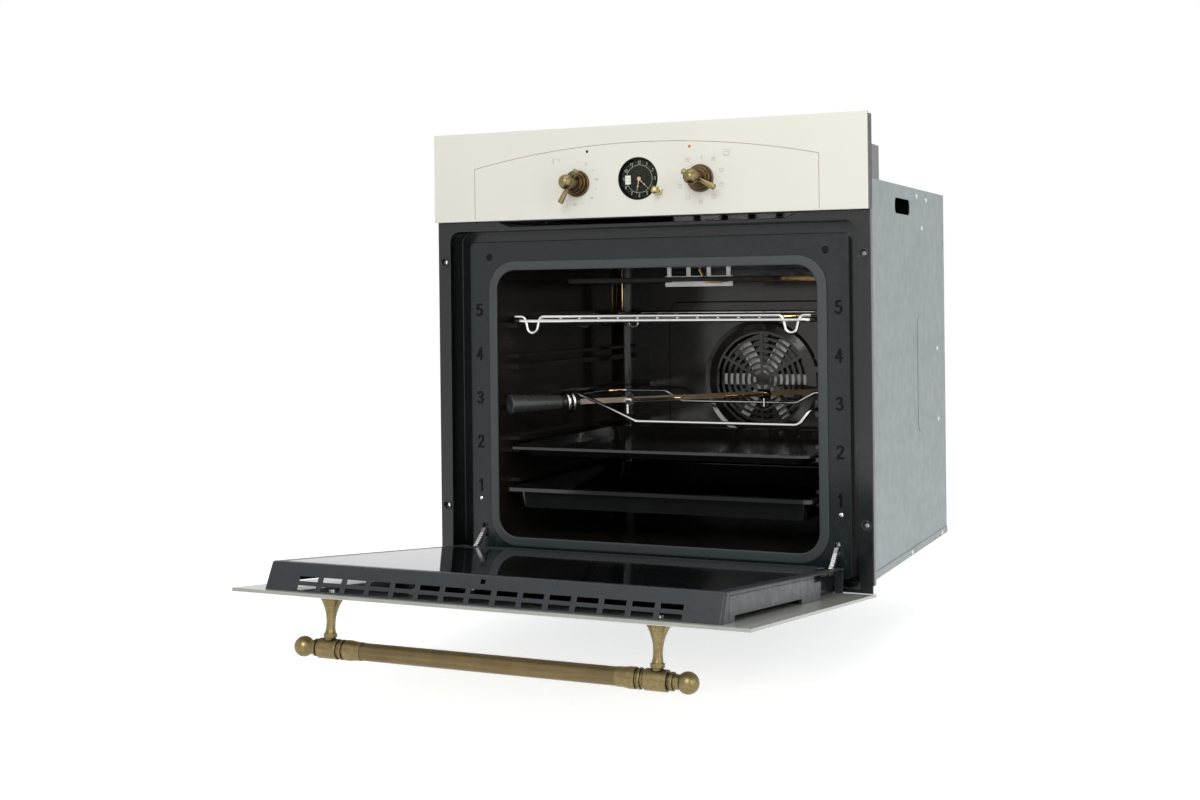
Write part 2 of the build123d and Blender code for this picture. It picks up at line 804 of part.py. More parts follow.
with BuildPart() as cavity_liner:
    block((-liner_half, liner_half), (liner_front, cavity_rear + liner_t), liner_z)
    fillet(cavity_liner.edges().filter_by(Axis.Z).group_by(Axis.Y)[-1], cavity_corner + liner_t)
    add(hollow.part, mode=Mode.SUBTRACT)
    for level in range(rail_count):
        rail = rail_first + rail_step * level
        for sign in (-1, 1):
            rib_x = spread((half_cavity - rail_depth, half_cavity), sign)
            block(rib_x, rail_y, (rail - rail_t, rail))
            block(rib_x, rail_y, (rail + guide_gap, rail + guide_gap + guide_t))
    with BuildSketch(front_plane(cavity_rear + liner_t)):
        with Locations((fan_x, fan_z)):
            Circle(fan_shaft_r + light_r)
        wall_run = (cavity_rear + liner_t / 2 - spit_start[1]) / spit_dir[1]
        with Locations((spit_start[0] + spit_dir[0] * wall_run, spit_z)):
            Circle(sleeve_hole_r)
        with Locations((-rod_leg_x, rod_z), (rod_leg_x, rod_z)):
            Circle(rod_r + rod_hole_gap / 2)
    extrude(amount=liner_t, mode=Mode.SUBTRACT)
    with BuildSketch(side_plane(liner_half)):
        with Locations((lamp_y, lamp_z)):
            Circle(lamp_hole_r)
    extrude(amount=-liner_t, mode=Mode.SUBTRACT)
finish(cavity_liner, "cavity_liner")

with BuildPart() as insulation:
    block((-wool_half, wool_half), wool_y, (sheet, wool_top))
    block(
        (-liner_half, liner_half),
        (wool_y[0] - through, wool_y[1] + through),
        liner_z,
        mode=Mode.SUBTRACT,
    )
    block(
        (liner_half, liner_half + lamp_holder_depth + through),
        (lamp_y - lamp_pocket, lamp_y + lamp_pocket),
        (lamp_z - lamp_pocket, lamp_z + lamp_pocket),
        mode=Mode.SUBTRACT,
    )
finish(insulation, "insulation")

hub = Plane(origin=(fan_x, 0, fan_z), x_dir=(0, 1, 0), z_dir=(1, 0, 0))
with BuildPart() as rear_cover:
    with BuildSketch(front_plane(cover_front + cover_t)):
        rounded(cover_x, cover_z, edge_r)
    extrude(amount=cover_t)
    for x in ((cover_x[0], cover_x[0] + cover_t), (cover_x[1] - cover_t, cover_x[1])):
        block(x, (cover_front + cover_t, cavity_rear), (cover_z[0] + edge_r, cover_z[1] - edge_r))
    with BuildSketch(front_plane(cover_front)):
        with BuildLine():
            Polyline(
                (plateau_x[0], plateau_z[0]),
                (plateau_x[1], plateau_z[0]),
                (plateau_x[1], plateau_z[1] - plateau_corner),
                (plateau_x[1] - plateau_corner, plateau_z[1]),
                (plateau_x[0] + plateau_corner, plateau_z[1]),
                (plateau_x[0], plateau_z[1] - plateau_corner),
                close=True,
            )
        make_face()
    extrude(amount=plateau_t, taper=plateau_slope)
    cover_depth = cover_t + plateau_t
    with BuildSketch(front_plane(cover_front + cover_t)):
        for ring in reversed(range(slot_rings)):
            middle = slot_first_r + slot_pitch * ring
            with Locations((fan_x, fan_z)):
                Circle(middle + slot_width / 2)
                Circle(middle - slot_width / 2, mode=Mode.SUBTRACT)
        with Locations((fan_x, fan_z)):
            with PolarLocations(0, spoke_count // 2, start_angle=spoke_start, angular_range=180):
                Rectangle(grille_r * 2, spoke_width, mode=Mode.SUBTRACT)
    extrude(amount=cover_depth, mode=Mode.SUBTRACT)
    with BuildSketch(front_plane(cover_front + cover_t)):
        with Locations((spit_end[0] + spit_dir[0] / spit_dir[1] * cover_t / 2, spit_z)):
            Circle(sleeve_hole_r)
        with Locations((-rod_leg_x, rod_z), (rod_leg_x, rod_z)):
            Circle(rod_r + rod_hole_gap)
    extrude(amount=cover_depth, mode=Mode.SUBTRACT)
    plateau_front = cover_front - plateau_t
    with BuildSketch(hub) as dish:
        with BuildLine():
            Polyline(
                (plateau_front - plateau_t, dish_r[0]),
                (plateau_front, dish_r[0]),
                (cover_front, dish_r[1]),
                (plateau_front, dish_r[2]),
                (plateau_front - plateau_t, dish_r[2]),
                close=True,
            )
        make_face()
    revolve(dish.sketch, axis=Axis(hub.origin, hub.x_dir), mode=Mode.SUBTRACT)
finish(rear_cover, "rear_cover")

# ---- Convection fan ----
with BuildPart() as fan_wheel:
    turned(hub, [(fan_disc_y[0], fan_disc_r), (fan_disc_y[1], fan_disc_r)])
    nose = fan_blade_y[0] + through
    turned(hub, [(fan_blade_y[0], fan_hub_r / 2), (nose, fan_hub_r), (fan_disc_y[1], fan_hub_r)])
    rod(hub, fan_disc_y[0], cavity_rear + liner_t + fan_motor_plate_t + lamp_dome, fan_shaft_r)
    arm_start = fan_disc_r - fan_blade_t * 2
    with BuildSketch(front_plane(fan_disc_y[1])):
        with Locations((fan_x, fan_z)):
            with PolarLocations(0, fan_blades):
                with Locations(((fan_r + arm_start) / 2, 0)):
                    Rectangle(fan_r - arm_start, fan_arm_w)
    extrude(amount=fan_blade_t)
    with BuildSketch(front_plane(fan_disc_y[0])):
        with Locations((fan_x, fan_z)):
            with PolarLocations(0, fan_blades):
                with Locations(((fan_r + fan_disc_r) / 2, (fan_arm_w - fan_blade_t) / 2)):
                    Rectangle(fan_r - fan_disc_r, fan_blade_t)
    extrude(amount=fan_blade_y[1] - fan_blade_y[0])
finish(fan_wheel, "fan_wheel")

with BuildPart() as fan_motor:
    motor_front = cavity_rear + liner_t
    block(
        (fan_x - fan_motor_plate, fan_x + fan_motor_plate),
        (motor_front, motor_front + fan_motor_plate_t),
        (fan_z - fan_motor_plate, fan_z + fan_motor_plate),
    )
    rod(hub, motor_front, fan_motor_end, fan_motor_r)
    fillet(fan_motor.faces().sort_by(Axis.Y)[-1].edges(), edge_r)
    rod(hub, 0, fan_motor_end - lamp_dome * 2, fan_shaft_r + run_fit, mode=Mode.SUBTRACT)
finish(fan_motor, "fan_motor")

# ---- Grill element, its hanger, the sensor bulb and the lamp ----
with BuildPart() as grill_element:
    with BuildLine() as rod_path:
        half_run = [
            (rod_leg_x, rod_y[3]),
            (rod_leg_x, rod_y[1]),
            (rod_mid_x, rod_y[1]),
            (rod_mid_x, rod_y[2]),
            (rod_out_x, rod_y[2]),
            (rod_out_x, rod_y[0]),
        ]
        run = [(-x, y, rod_z) for x, y in half_run] + [(x, y, rod_z) for x, y in reversed(half_run)]
        bent_path(run, rod_bend)
    tube_on(rod_path, rod_r)
finish(grill_element, "grill_element")

with BuildPart() as grill_hanger:
    hanger_y = (bracket_y, bracket_y + bracket_t)
    block((-bracket_half, bracket_half), hanger_y, bracket_z)
    for x in bracket_leg_x:
        block((x - bracket_leg_w / 2, x + bracket_leg_w / 2), hanger_y, (bracket_z[1], cavity_z[1]))
    with BuildSketch(front_plane(hanger_y[1])):
        with Locations((-rod_leg_x, rod_z), (rod_leg_x, rod_z)):
            Circle(rod_r)
    extrude(amount=bracket_t, mode=Mode.SUBTRACT)
finish(grill_hanger, "grill_hanger")

with BuildPart() as sensor_bulb:
    with BuildLine() as bulb_path:
        bent_path(bulb_points, bulb_bend)
    tube_on(bulb_path, bulb_r)
finish(sensor_bulb, "sensor_bulb")

lamp_plane = Plane(origin=(liner_half, lamp_y, lamp_z), x_dir=(-1, 0, 0), z_dir=(0, 1, 0))
with BuildPart() as lamp_glass:
    lens_r = lamp_hole_r - lamp_gap
    turned(
        lamp_plane,
        [(0, lens_r), (liner_t * 2, lens_r), (lamp_dome, lens_r * 0.8), (lamp_dome + liner_t, lens_r * 0.3)],
    )
finish(lamp_glass, "lamp_glass")

with BuildPart() as lamp_holder:
    rod(lamp_plane, -lamp_holder_depth, 0, lamp_holder_r)
    fillet(lamp_holder.faces().sort_by(Axis.X)[-1].edges(), edge_r)
finish(lamp_holder, "lamp_holder")

# ---- Control panel ----
with BuildPart() as control_glass:
    block((-half_front, half_front), (0, glass_t), (panel_bottom, panel_top))
    chamfer(control_glass.faces().sort_by(Axis.Y)[0].edges(), bead_t)
    with BuildSketch(front_plane(glass_t)):
        with Locations((-knob_x, knob_z), (knob_x, knob_z)):
            Circle(panel_hole_r)
        with Locations((0, clock_z)):
            Circle(clock_r + clock_gap)
        with Locations((-light_x, light_z), (light_x, light_z)):
            Circle(light_r + light_gap)
        with Locations((setting_x, setting_z)):
            Circle(setting_hole_r)
    extrude(amount=glass_t, mode=Mode.SUBTRACT)
finish(control_glass, "control_glass")

with BuildPart() as panel_carrier:
    block((-carrier_half, carrier_half), (glass_t, carrier_depth), carrier_z)
    block(
        (-carrier_half + carrier_wall, carrier_half - carrier_wall),
        (carrier_back, carrier_depth),
        (carrier_z[0] + carrier_wall, carrier_z[1] - carrier_wall),
        mode=Mode.SUBTRACT,
    )
    with BuildSketch(front_plane(carrier_back)):
        with Locations((-knob_x, knob_z), (knob_x, knob_z)):
            Circle(carrier_hole_r)
        with Locations((0, clock_z)):
            Circle(clock_r + run_fit)
        with Locations((-light_x, light_z), (light_x, light_z)):
            Circle(light_r)
        with Locations((setting_x, setting_z)):
            Circle(setting_hole_r)
    extrude(amount=carrier_back - glass_t, mode=Mode.SUBTRACT)
finish(panel_carrier, "panel_carrier")

with BuildPart() as panel_stays:
    for sign in (-1, 1):
        stay = spread(stay_x, sign)
        block(stay, (carrier_depth, stay_y), (housing_top, stay_top))
        foot = spread((stay_x[0] - stay_foot, stay_x[0]), sign)
        block(foot, (frame_back, stay_y), (housing_top, housing_top + frame_wall))
        tab = spread((stay_x[0] - stay_foot, stay_x[1]), sign)
        block(tab, (carrier_back, carrier_back + frame_wall), (housing_top, stay_top))
        block(stay, (carrier_back + frame_wall, carrier_depth), (housing_top, stay_top))
finish(panel_stays, "panel_stays")

for side, sign, light in (("left", -1, "indicator_left"), ("right", 1, "indicator_right")):
    with BuildPart() as indicator:
        rod(out_plane(sign * light_x, light_z), -carrier_back, light_proud, light_r)
    finish(indicator, light)

with BuildPart() as knob_rosettes:
    for sign in (-1, 1):
        steps = []
        start = 0
        for radius, end in rosette_steps:
            steps += [(start, radius), (end - bead_t, radius), (end, radius - bead_t)]
            start = end
        plane = out_plane(sign * knob_x, knob_z)
        turned(plane, steps)
        rod(plane, 0, rosette_steps[-1][1], rosette_bore, mode=Mode.SUBTRACT)
finish(knob_rosettes, "knob_rosettes")

with BuildPart() as rotary_switches:
    for sign in (-1, 1):
        block(
            (sign * knob_x - switch_half, sign * knob_x + switch_half),
            (carrier_back, switch_back),
            (knob_z - switch_half, knob_z + switch_half),
        )
        rod(
            out_plane(sign * knob_x, knob_z), -switch_bore, 0, knob_shaft_r + run_fit, mode=Mode.SUBTRACT
        )
finish(rotary_switches, "rotary_switches")

for side, sign, heading in (("left", -1, lever_left), ("right", 1, lever_right)):
    lever_origin = (sign * knob_x, -lever_y, knob_z)
    lever_plane = axis_plane(lever_origin, (heading[0], 0, heading[1]))
    with BuildPart() as knob:
        plane = out_plane(sign * knob_x, knob_z)
        turned(
            plane,
            [
                (-knob_shaft_end, knob_shaft_r),
                (collar_start, knob_shaft_r),
                (collar_start, collar_r - bead_t),
                (collar_start + bead_t, collar_r),
                (ball_y - knob_ball_r / 2, collar_r),
            ],
        )
        with Locations((sign * knob_x, -ball_y, knob_z)):
            Sphere(knob_ball_r)
        rod(lever_plane, -lever_long, lever_long, lever_r, mode=Mode.SUBTRACT)
    finish(knob, f"knob_{side}")
    with BuildPart() as lever:
        turned(
            lever_plane,
            [
                (-lever_short, lever_tip_r - bead_t),
                (-lever_short + bead_t, lever_tip_r),
                (-lever_short + edge_r, lever_tip_r),
                (-collar_r, lever_r),
                (collar_r, lever_r),
                (lever_long - edge_r, lever_tip_r),
                (lever_long - bead_t, lever_tip_r),
                (lever_long, lever_tip_r - bead_t),
            ],
        )
    finish(lever, f"lever_{side}")

# ---- Clock ----
clock_plane = out_plane(0, clock_z)
setting_plane = out_plane(setting_x, setting_z)
with BuildPart() as clock_case:
    rod(clock_plane, -movement_back, clock_proud, clock_r)
    block(movement_x, (carrier_back, movement_back), movement_z)
    rod(clock_plane, -lens_y[1], clock_proud, clock_seat_r, mode=Mode.SUBTRACT)
    rod(clock_plane, -dial_y, clock_proud, clock_face_r, mode=Mode.SUBTRACT)
    rod(clock_plane, -hub_end - light_r, 0, hour_hub_r + run_fit, mode=Mode.SUBTRACT)
    rod(setting_plane, -setting_end - light_r, 0, setting_shaft_r + run_fit, mode=Mode.SUBTRACT)
finish(clock_case, "clock_case")

with BuildPart() as clock_lens:
    rod(clock_plane, -lens_y[1], -lens_y[0], clock_seat_r)
finish(clock_lens, "clock_lens")


def hand(angle, depth, length, hub_r, bore_r):
    """A slim hand with a diamond on it, turned clockwise from the top of the dial."""
    plane = Plane(
        origin=(0, depth[1], clock_z),
        x_dir=(sin(radians(angle)), 0, cos(radians(angle))),
        z_dir=(0, -1, 0),
    )
    with BuildSketch(plane) as outline:
        with BuildLine():
            Polyline((0, hand_w / 2), (length, 0), (0, -hand_w / 2), close=True)
        make_face()
        with Locations((length * diamond_at, 0)):
            Rectangle(diamond / sqrt(2), diamond / sqrt(2), rotation=45)
        Circle(hub_r * 1.4)
    extrude(outline.sketch, amount=depth[1] - depth[0])
    rod(clock_plane, -hub_end, -depth[0], hub_r)
    if bore_r:
        rod(clock_plane, -hub_end - through, through, bore_r, mode=Mode.SUBTRACT)


with BuildPart() as hour_hand:
    hand(hour_angle, hour_y, hour_length, hour_hub_r, minute_hub_r + run_fit)
finish(hour_hand, "hour_hand")

with BuildPart() as minute_hand:
    hand(minute_angle, minute_y, minute_length, minute_hub_r, 0)
finish(minute_hand, "minute_hand")

with BuildPart() as setting_knob:
    turned(
        setting_plane,
        [
            (-setting_end, setting_shaft_r),
            (setting_lift, setting_shaft_r),
            (setting_lift, setting_flange[0]),
            (setting_flange[1], setting_flange[0]),
            (setting_flange[1] + bead_t, setting_neck[0]),
            (setting_neck[1], setting_neck[0]),
        ],
    )
    with Locations((setting_x, -setting_ball_y, setting_z)):
        Sphere(setting_ball_r)
finish(setting_knob, "setting_knob")

# ---- Hinges ----
with BuildPart() as hinge_arms:
    for sign in (-1, 1):
        plane = side_plane(sign * hinge_x - arm_t / 2)
        with BuildSketch(plane):
            line = [(pivot_y, pivot_z)] + arm_points
            for start, end in zip(line, line[1:]):
                run = sqrt((end[0] - start[0]) ** 2 + (end[1] - start[1]) ** 2)
                turn = degrees(atan2(end[1] - start[1], end[0] - start[0]))
                with Locations(((start[0] + end[0]) / 2, (start[1] + end[1]) / 2)):
                    Rectangle(run, arm_half * 2, rotation=turn)
            with Locations(*arm_points[:-1]):
                Circle(arm_half)
            with Locations((pivot_y, pivot_z)):
                Circle(arm_eye_r)
            start, end = (Vector(*point) for point in arm_points[:2])
            ahead = (end - start).normalized()
            edge = start + Vector(-ahead.Y, ahead.X) * arm_half
            for i in range(notch_count):
                spot = edge + ahead * (notch_first + notch_pitch * i)
                with Locations((spot.X, spot.Y)):
                    Circle(notch_r, mode=Mode.SUBTRACT)
        extrude(amount=arm_t)
        pin = Plane(origin=(sign * hinge_x, pivot_y, pivot_z), x_dir=(1, 0, 0), z_dir=(0, 0, 1))
        rod(pin, -pin_half, pin_half, pin_r)
finish(hinge_arms, "hinge_arms")

with BuildPart() as hinge_receivers:
    for sign in (-1, 1):
        block((sign * hinge_x - receiver_half, sign * hinge_x + receiver_half), receiver_y, receiver_z)
        tail = arm_points[-1]
        block(
            (sign * hinge_x - arm_t / 2, sign * hinge_x + arm_t / 2),
            (receiver_y[0], tail[0]),
            (tail[1] - arm_half, tail[1] + arm_half),
            mode=Mode.SUBTRACT,
        )
finish(hinge_receivers, "hinge_receivers")

# ---- Door ----
door_out = Axis((0, 0, 0), door_plane.z_dir)
with BuildPart(door_plane) as door_glass:
    block((-half_front, half_front), (door_foot, door_top), (glass_in, glass_out))
    chamfer(door_glass.faces().sort_by(door_out)[-1].edges(), bead_t)
    with BuildSketch(door_plane.offset(glass_in)):
        with Locations((-post_x, handle_y), (post_x, handle_y)):
            Circle(glass_hole_r)
    extrude(amount=glass_t, mode=Mode.SUBTRACT)
finish(door_glass, "door_glass")

def liner_profile(inset):
    """Corners of the outline of the door's inner shell seen from its side, moved inwards by inset."""
    low = liner_in + inset
    lean = liner_lean * (glass_in - low) / (glass_in - liner_in)
    return [
        (liner_y[0] + inset, glass_in),
        (liner_y[1] - inset, glass_in),
        (liner_y[1] - inset - lean, low),
        (liner_y[0] + inset, low),
    ]


with BuildPart(door_plane) as door_liner:
    inner = liner_in + liner_sheet
    floor = liner_in + pocket_depth
    # Local x of this plane runs up the door and local y runs outwards, to the front glass.
    shell_plane = Plane(
        origin=door_plane.from_local_coords((-half_liner, 0, 0)), x_dir=door_plane.y_dir, z_dir=(1, 0, 0)
    )
    with BuildSketch(shell_plane):
        with BuildLine():
            Polyline(*liner_profile(0), close=True)
        make_face()
    extrude(amount=half_liner * 2)
    glass_side = door_liner.faces().sort_by(door_out)[-1]
    fillet(door_liner.edges() - glass_side.edges(), edge_r)
    with BuildSketch(shell_plane.offset(liner_sheet)):
        with BuildLine():
            Polyline(*liner_profile(liner_sheet), close=True)
        make_face()
    extrude(amount=(half_liner - liner_sheet) * 2, mode=Mode.SUBTRACT)
    step_half = pocket_half + liner_sheet
    step_y = (pocket_y[0] - liner_sheet, pocket_y[1] + liner_sheet)
    block((-step_half, step_half), step_y, (inner, floor + liner_sheet))
    block((-pocket_half, pocket_half), pocket_y, (liner_in, floor), mode=Mode.SUBTRACT)
    block((-window_half, window_half), window_y, (floor, floor + liner_sheet), mode=Mode.SUBTRACT)
    vent_y = (liner_y[1] - liner_lean - liner_sheet * 2, liner_y[1])
    for z in vent_slot_z:
        for i in range(vent_slot_count):
            x = (i - (vent_slot_count - 1) / 2) * vent_slot_pitch
            block(
                (x - vent_slot[0] / 2, x + vent_slot[0] / 2),
                vent_y,
                (z - vent_slot[1] / 2, z + vent_slot[1] / 2),
                mode=Mode.SUBTRACT,
            )
    block(
        (-catch_hole[0] / 2, catch_hole[0] / 2),
        vent_y,
        (catch_hole_z - catch_hole[1] / 2, catch_hole_z + catch_hole[1] / 2),
        mode=Mode.SUBTRACT,
    )
    for sign in (-1, 1):
        slot_x = (sign * hinge_x - hinge_slot_half, sign * hinge_x + hinge_slot_half)
        block(slot_x, (liner_y[0], hinge_slot_top), (liner_in, glass_in), mode=Mode.SUBTRACT)
        wall = spread((half_liner - edge_r, half_liner), sign)
        block(wall, (liner_y[0], side_end_y[0]), (inner, glass_in), mode=Mode.SUBTRACT)
        block(wall, (liner_y[0], side_end_y[1]), (inner, side_step_z), mode=Mode.SUBTRACT)
        block(wall, side_notch[0], (side_notch[1], glass_in), mode=Mode.SUBTRACT)
        groove = spread((half_liner - seam_depth, half_liner), sign)
        block(groove, (side_end_y[1], seam_y), (seam_z - seam_w, seam_z), mode=Mode.SUBTRACT)
        block(groove, (seam_y - seam_w, seam_y), (seam_z, glass_in), mode=Mode.SUBTRACT)
finish(door_liner, "door_liner")

with BuildPart(door_plane) as inner_glass:
    block(
        (-pocket_half + pocket_gap, pocket_half - pocket_gap),
        (pocket_y[0] + pocket_gap, pocket_y[1] - pocket_gap),
        (liner_in, floor),
    )
finish(inner_glass, "inner_glass")

with BuildPart() as door_hinges:
    for sign in (-1, 1):
        for inward in (-1, 1):
            near = sign * hinge_x + inward * cheek_in
            cheek_plane = Plane(
                origin=door_plane.from_local_coords((near, 0, 0)),
                x_dir=door_plane.y_dir,
                z_dir=(1, 0, 0),
            )
            # Local x runs up the door and local y runs outwards, to the front glass.
            with BuildSketch(cheek_plane):
                with BuildLine():
                    Polyline(
                        (0, cheek_eye_r),
                        (cheek_foot_y[1], cheek_eye_r),
                        (cheek_foot_y[1], floor + liner_sheet),
                        (cheek_foot_y[0], floor + liner_sheet),
                        (cheek_foot_y[0], cheek_wide_z),
                        (cheek_wide_y, cheek_wide_z),
                        (cheek_wide_y, -cheek_eye_r),
                        (0, -cheek_eye_r),
                        close=True,
                    )
                make_face()
                Circle(cheek_eye_r)
                Circle(pin_r + run_fit, mode=Mode.SUBTRACT)
            extrude(amount=inward * cheek_t)
finish(door_hinges, "door_hinges")

# ---- Handle ----
bar_plane = Plane(
    origin=door_plane.from_local_coords((0, handle_y, handle_z)),
    x_dir=(1, 0, 0),
    z_dir=door_plane.z_dir,
)
with BuildPart() as handle_bar:
    rod(bar_plane, -bar_half, bar_half, bar_r)
    rod(bar_plane, -bar_half, bar_half, bar_bore_r, mode=Mode.SUBTRACT)
finish(handle_bar, "handle_bar")

with BuildPart() as handle_fittings:
    for sign in (-1, 1):
        turned(bar_plane, [(sign * x, radius) for x, radius in ferrule_profile])
finish(handle_fittings, "handle_fittings")

with BuildPart() as handle_finials:
    for sign in (-1, 1):
        start = (sign * finial_profile[0][0], 0)
        seat = (sign * finial_seat, finial_profile[-1][1])
        tip = (sign * (finial_x + finial_r), 0)
        with BuildSketch(bar_plane) as outline:
            with BuildLine():
                Polyline(start, *[(sign * x, radius) for x, radius in finial_profile], seat)
                ThreePointArc(seat, (sign * finial_x, finial_r), tip)
                Line(tip, start)
            make_face()
        revolve(outline.sketch, axis=Axis(bar_plane.origin, bar_plane.x_dir))
finish(handle_finials, "handle_finials")

with BuildPart() as handle_posts:
    for sign in (-1, 1):
        post_plane = Plane(
            origin=door_plane.from_local_coords((sign * post_x, handle_y, glass_out)),
            x_dir=door_plane.z_dir,
            z_dir=(1, 0, 0),
        )
        with BuildSketch(post_plane):
            with BuildLine():
                ThreePointArc((0, post_base_r), post_curve, post_waist)
                ThreePointArc(post_waist, post_swell, (post_collar[0], post_neck_r))
                Polyline(
                    (post_collar[0], post_neck_r),
                    (post_collar[0], post_collar[2]),
                    (post_collar[1], post_collar[2]),
                    (post_collar[1], post_neck_r),
                    (post_end, post_neck_r),
                    (post_end, 0),
                    (0, 0),
                    (0, post_base_r),
                )
            make_face()
        revolve(axis=Axis(post_plane.origin, post_plane.x_dir))
        rod(post_plane, 0, post_bore_depth, post_bore_r, mode=Mode.SUBTRACT)
    rod(bar_plane, -half_front, half_front, tee_r, mode=Mode.SUBTRACT)
finish(handle_posts, "handle_posts")

with BuildPart() as handle_screws:
    for sign in (-1, 1):
        screw_plane = Plane(
            origin=door_plane.from_local_coords((sign * post_x, handle_y, glass_in)),
            x_dir=door_plane.z_dir,
            z_dir=(1, 0, 0),
        )
        turned(
            screw_plane,
            [
                (-handle_screw_head[1], handle_screw_head[0]),
                (0, handle_screw_head[0]),
                (0, handle_screw_r),
                (glass_t + post_bore_depth - through, handle_screw_r),
            ],
        )
finish(handle_screws, "handle_screws")


# ---- Shelves ----
def tray(rail, height, taper, corner, lip_drop):
    """A pan with sloping walls, a flat rim and a turned-down lip that rides on a pair of rails."""
    rim_low = rail + seat_gap
    rim_top = rim_low + lip_drop
    whole = ((-pan_half, pan_half), (pan_front, pan_front + pan_depth))
    well = (
        (-pan_half + pan_lip, pan_half - pan_lip),
        (pan_front + pan_lip, pan_front + pan_depth - pan_lip),
    )
    with BuildSketch(Plane.XY.offset(rim_top)) as rim:
        rounded(*whole, corner)
    extrude(rim.sketch, amount=-lip_drop)
    with BuildSketch(Plane.XY.offset(rim_top - pan_t)) as under_rim:
        inset = [(low + pan_t, high - pan_t) for low, high in whole]
        rounded(*inset, corner - pan_t)
    extrude(under_rim.sketch, amount=-lip_drop, mode=Mode.SUBTRACT)
    with BuildSketch(Plane.XY.offset(rim_top)) as outside:
        rounded(*[(low - pan_t, high + pan_t) for low, high in well], corner)
    extrude(outside.sketch, amount=-height, taper=taper)
    with BuildSketch(Plane.XY.offset(rim_top)) as inside:
        rounded(*well, corner - pan_t)
    extrude(inside.sketch, amount=-height + pan_t, taper=taper, mode=Mode.SUBTRACT)


with BuildPart() as deep_pan:
    tray(rail_first, deep_height, deep_taper, deep_corner, pan_lip_drop)
finish(deep_pan, "deep_pan")

with BuildPart() as shallow_tray:
    tray(rail_first + rail_step, shallow_height, shallow_taper, shallow_corner, tray_lip_drop)
finish(shallow_tray, "shallow_tray")

with BuildPart() as wire_grid:
    grid_z = rail_first + rail_step * (rail_count - 1) + seat_gap + grid_rod_r
    wire_z = grid_z + grid_rod_r + grid_wire_r - grid_bite
    hook_z = wire_z + hook_r
    with BuildLine() as ring_path:
        corners = [
            (0, grid_y[0], grid_z),
            (grid_half, grid_y[0], grid_z),
            (grid_half, grid_y[1], grid_z),
            (-grid_half, grid_y[1], grid_z),
            (-grid_half, grid_y[0], grid_z),
            (0, grid_y[0], grid_z),
        ]
        bent_path(corners, grid_corner)
    tube_on(ring_path, grid_rod_r)
    for y in grid_y:
        with BuildLine() as hook_path:
            low = hook_z - hook_drop
            right = [
                (hook_x - hook_half, hook_z),
                (hook_x - hook_foot, low),
                (hook_x + hook_foot, low),
                (hook_x + hook_half, hook_z),
                (hook_end_x, hook_z),
            ]
            run = [(-x, y, z) for x, z in reversed(right)] + [(x, y, z) for x, z in right]
            bent_path(run, hook_bend)
        tube_on(hook_path, hook_r)
    for i in range(grid_wires):
        x = -grid_wire_half + 2 * grid_wire_half * i / (grid_wires - 1)
        wire = Plane(origin=(x, 0, wire_z), x_dir=(0, 1, 0), z_dir=(0, 0, 1))
        rod(wire, grid_y[0], grid_y[1], grid_wire_r)
finish(wire_grid, "wire_grid")


# ---- Rotisserie ----
def coil_point(turns):
    """A point and the direction on the coil, which starts and ends at its top."""
    angle = 2 * pi * turns
    along = coil_x[0] + (coil_x[1] - coil_x[0]) * turns / coil_turns
    side = sin(angle) * coil_r
    spot = spit_plane.from_local_coords((along, -side, cos(angle) * coil_r))
    pitch = (coil_x[1] - coil_x[0]) / coil_turns
    heading = Vector(pitch / (2 * pi), -cos(angle) * coil_r, -sin(angle) * coil_r)
    ahead = spit_plane.from_local_coords(heading) - spit_plane.from_local_coords((0, 0, 0))
    return Vector(*spot), Vector(*ahead).normalized()


def biarc(start, start_way, end, end_way):
    """Two tangent arcs between two points with given directions. It returns the point between them."""
    across = end - start
    ways = start_way + end_way
    square = 2 * (1 - start_way.dot(end_way))
    dot = across.dot(ways)
    reach = (-dot + sqrt(dot * dot + square * across.dot(across))) / square
    knee = start + start_way * reach
    heel = end - end_way * reach
    middle = (knee + heel) * 0.5
    TangentArc(start, middle, tangent=start_way)
    TangentArc(middle, end, tangent=(heel - knee).normalized())
    return middle


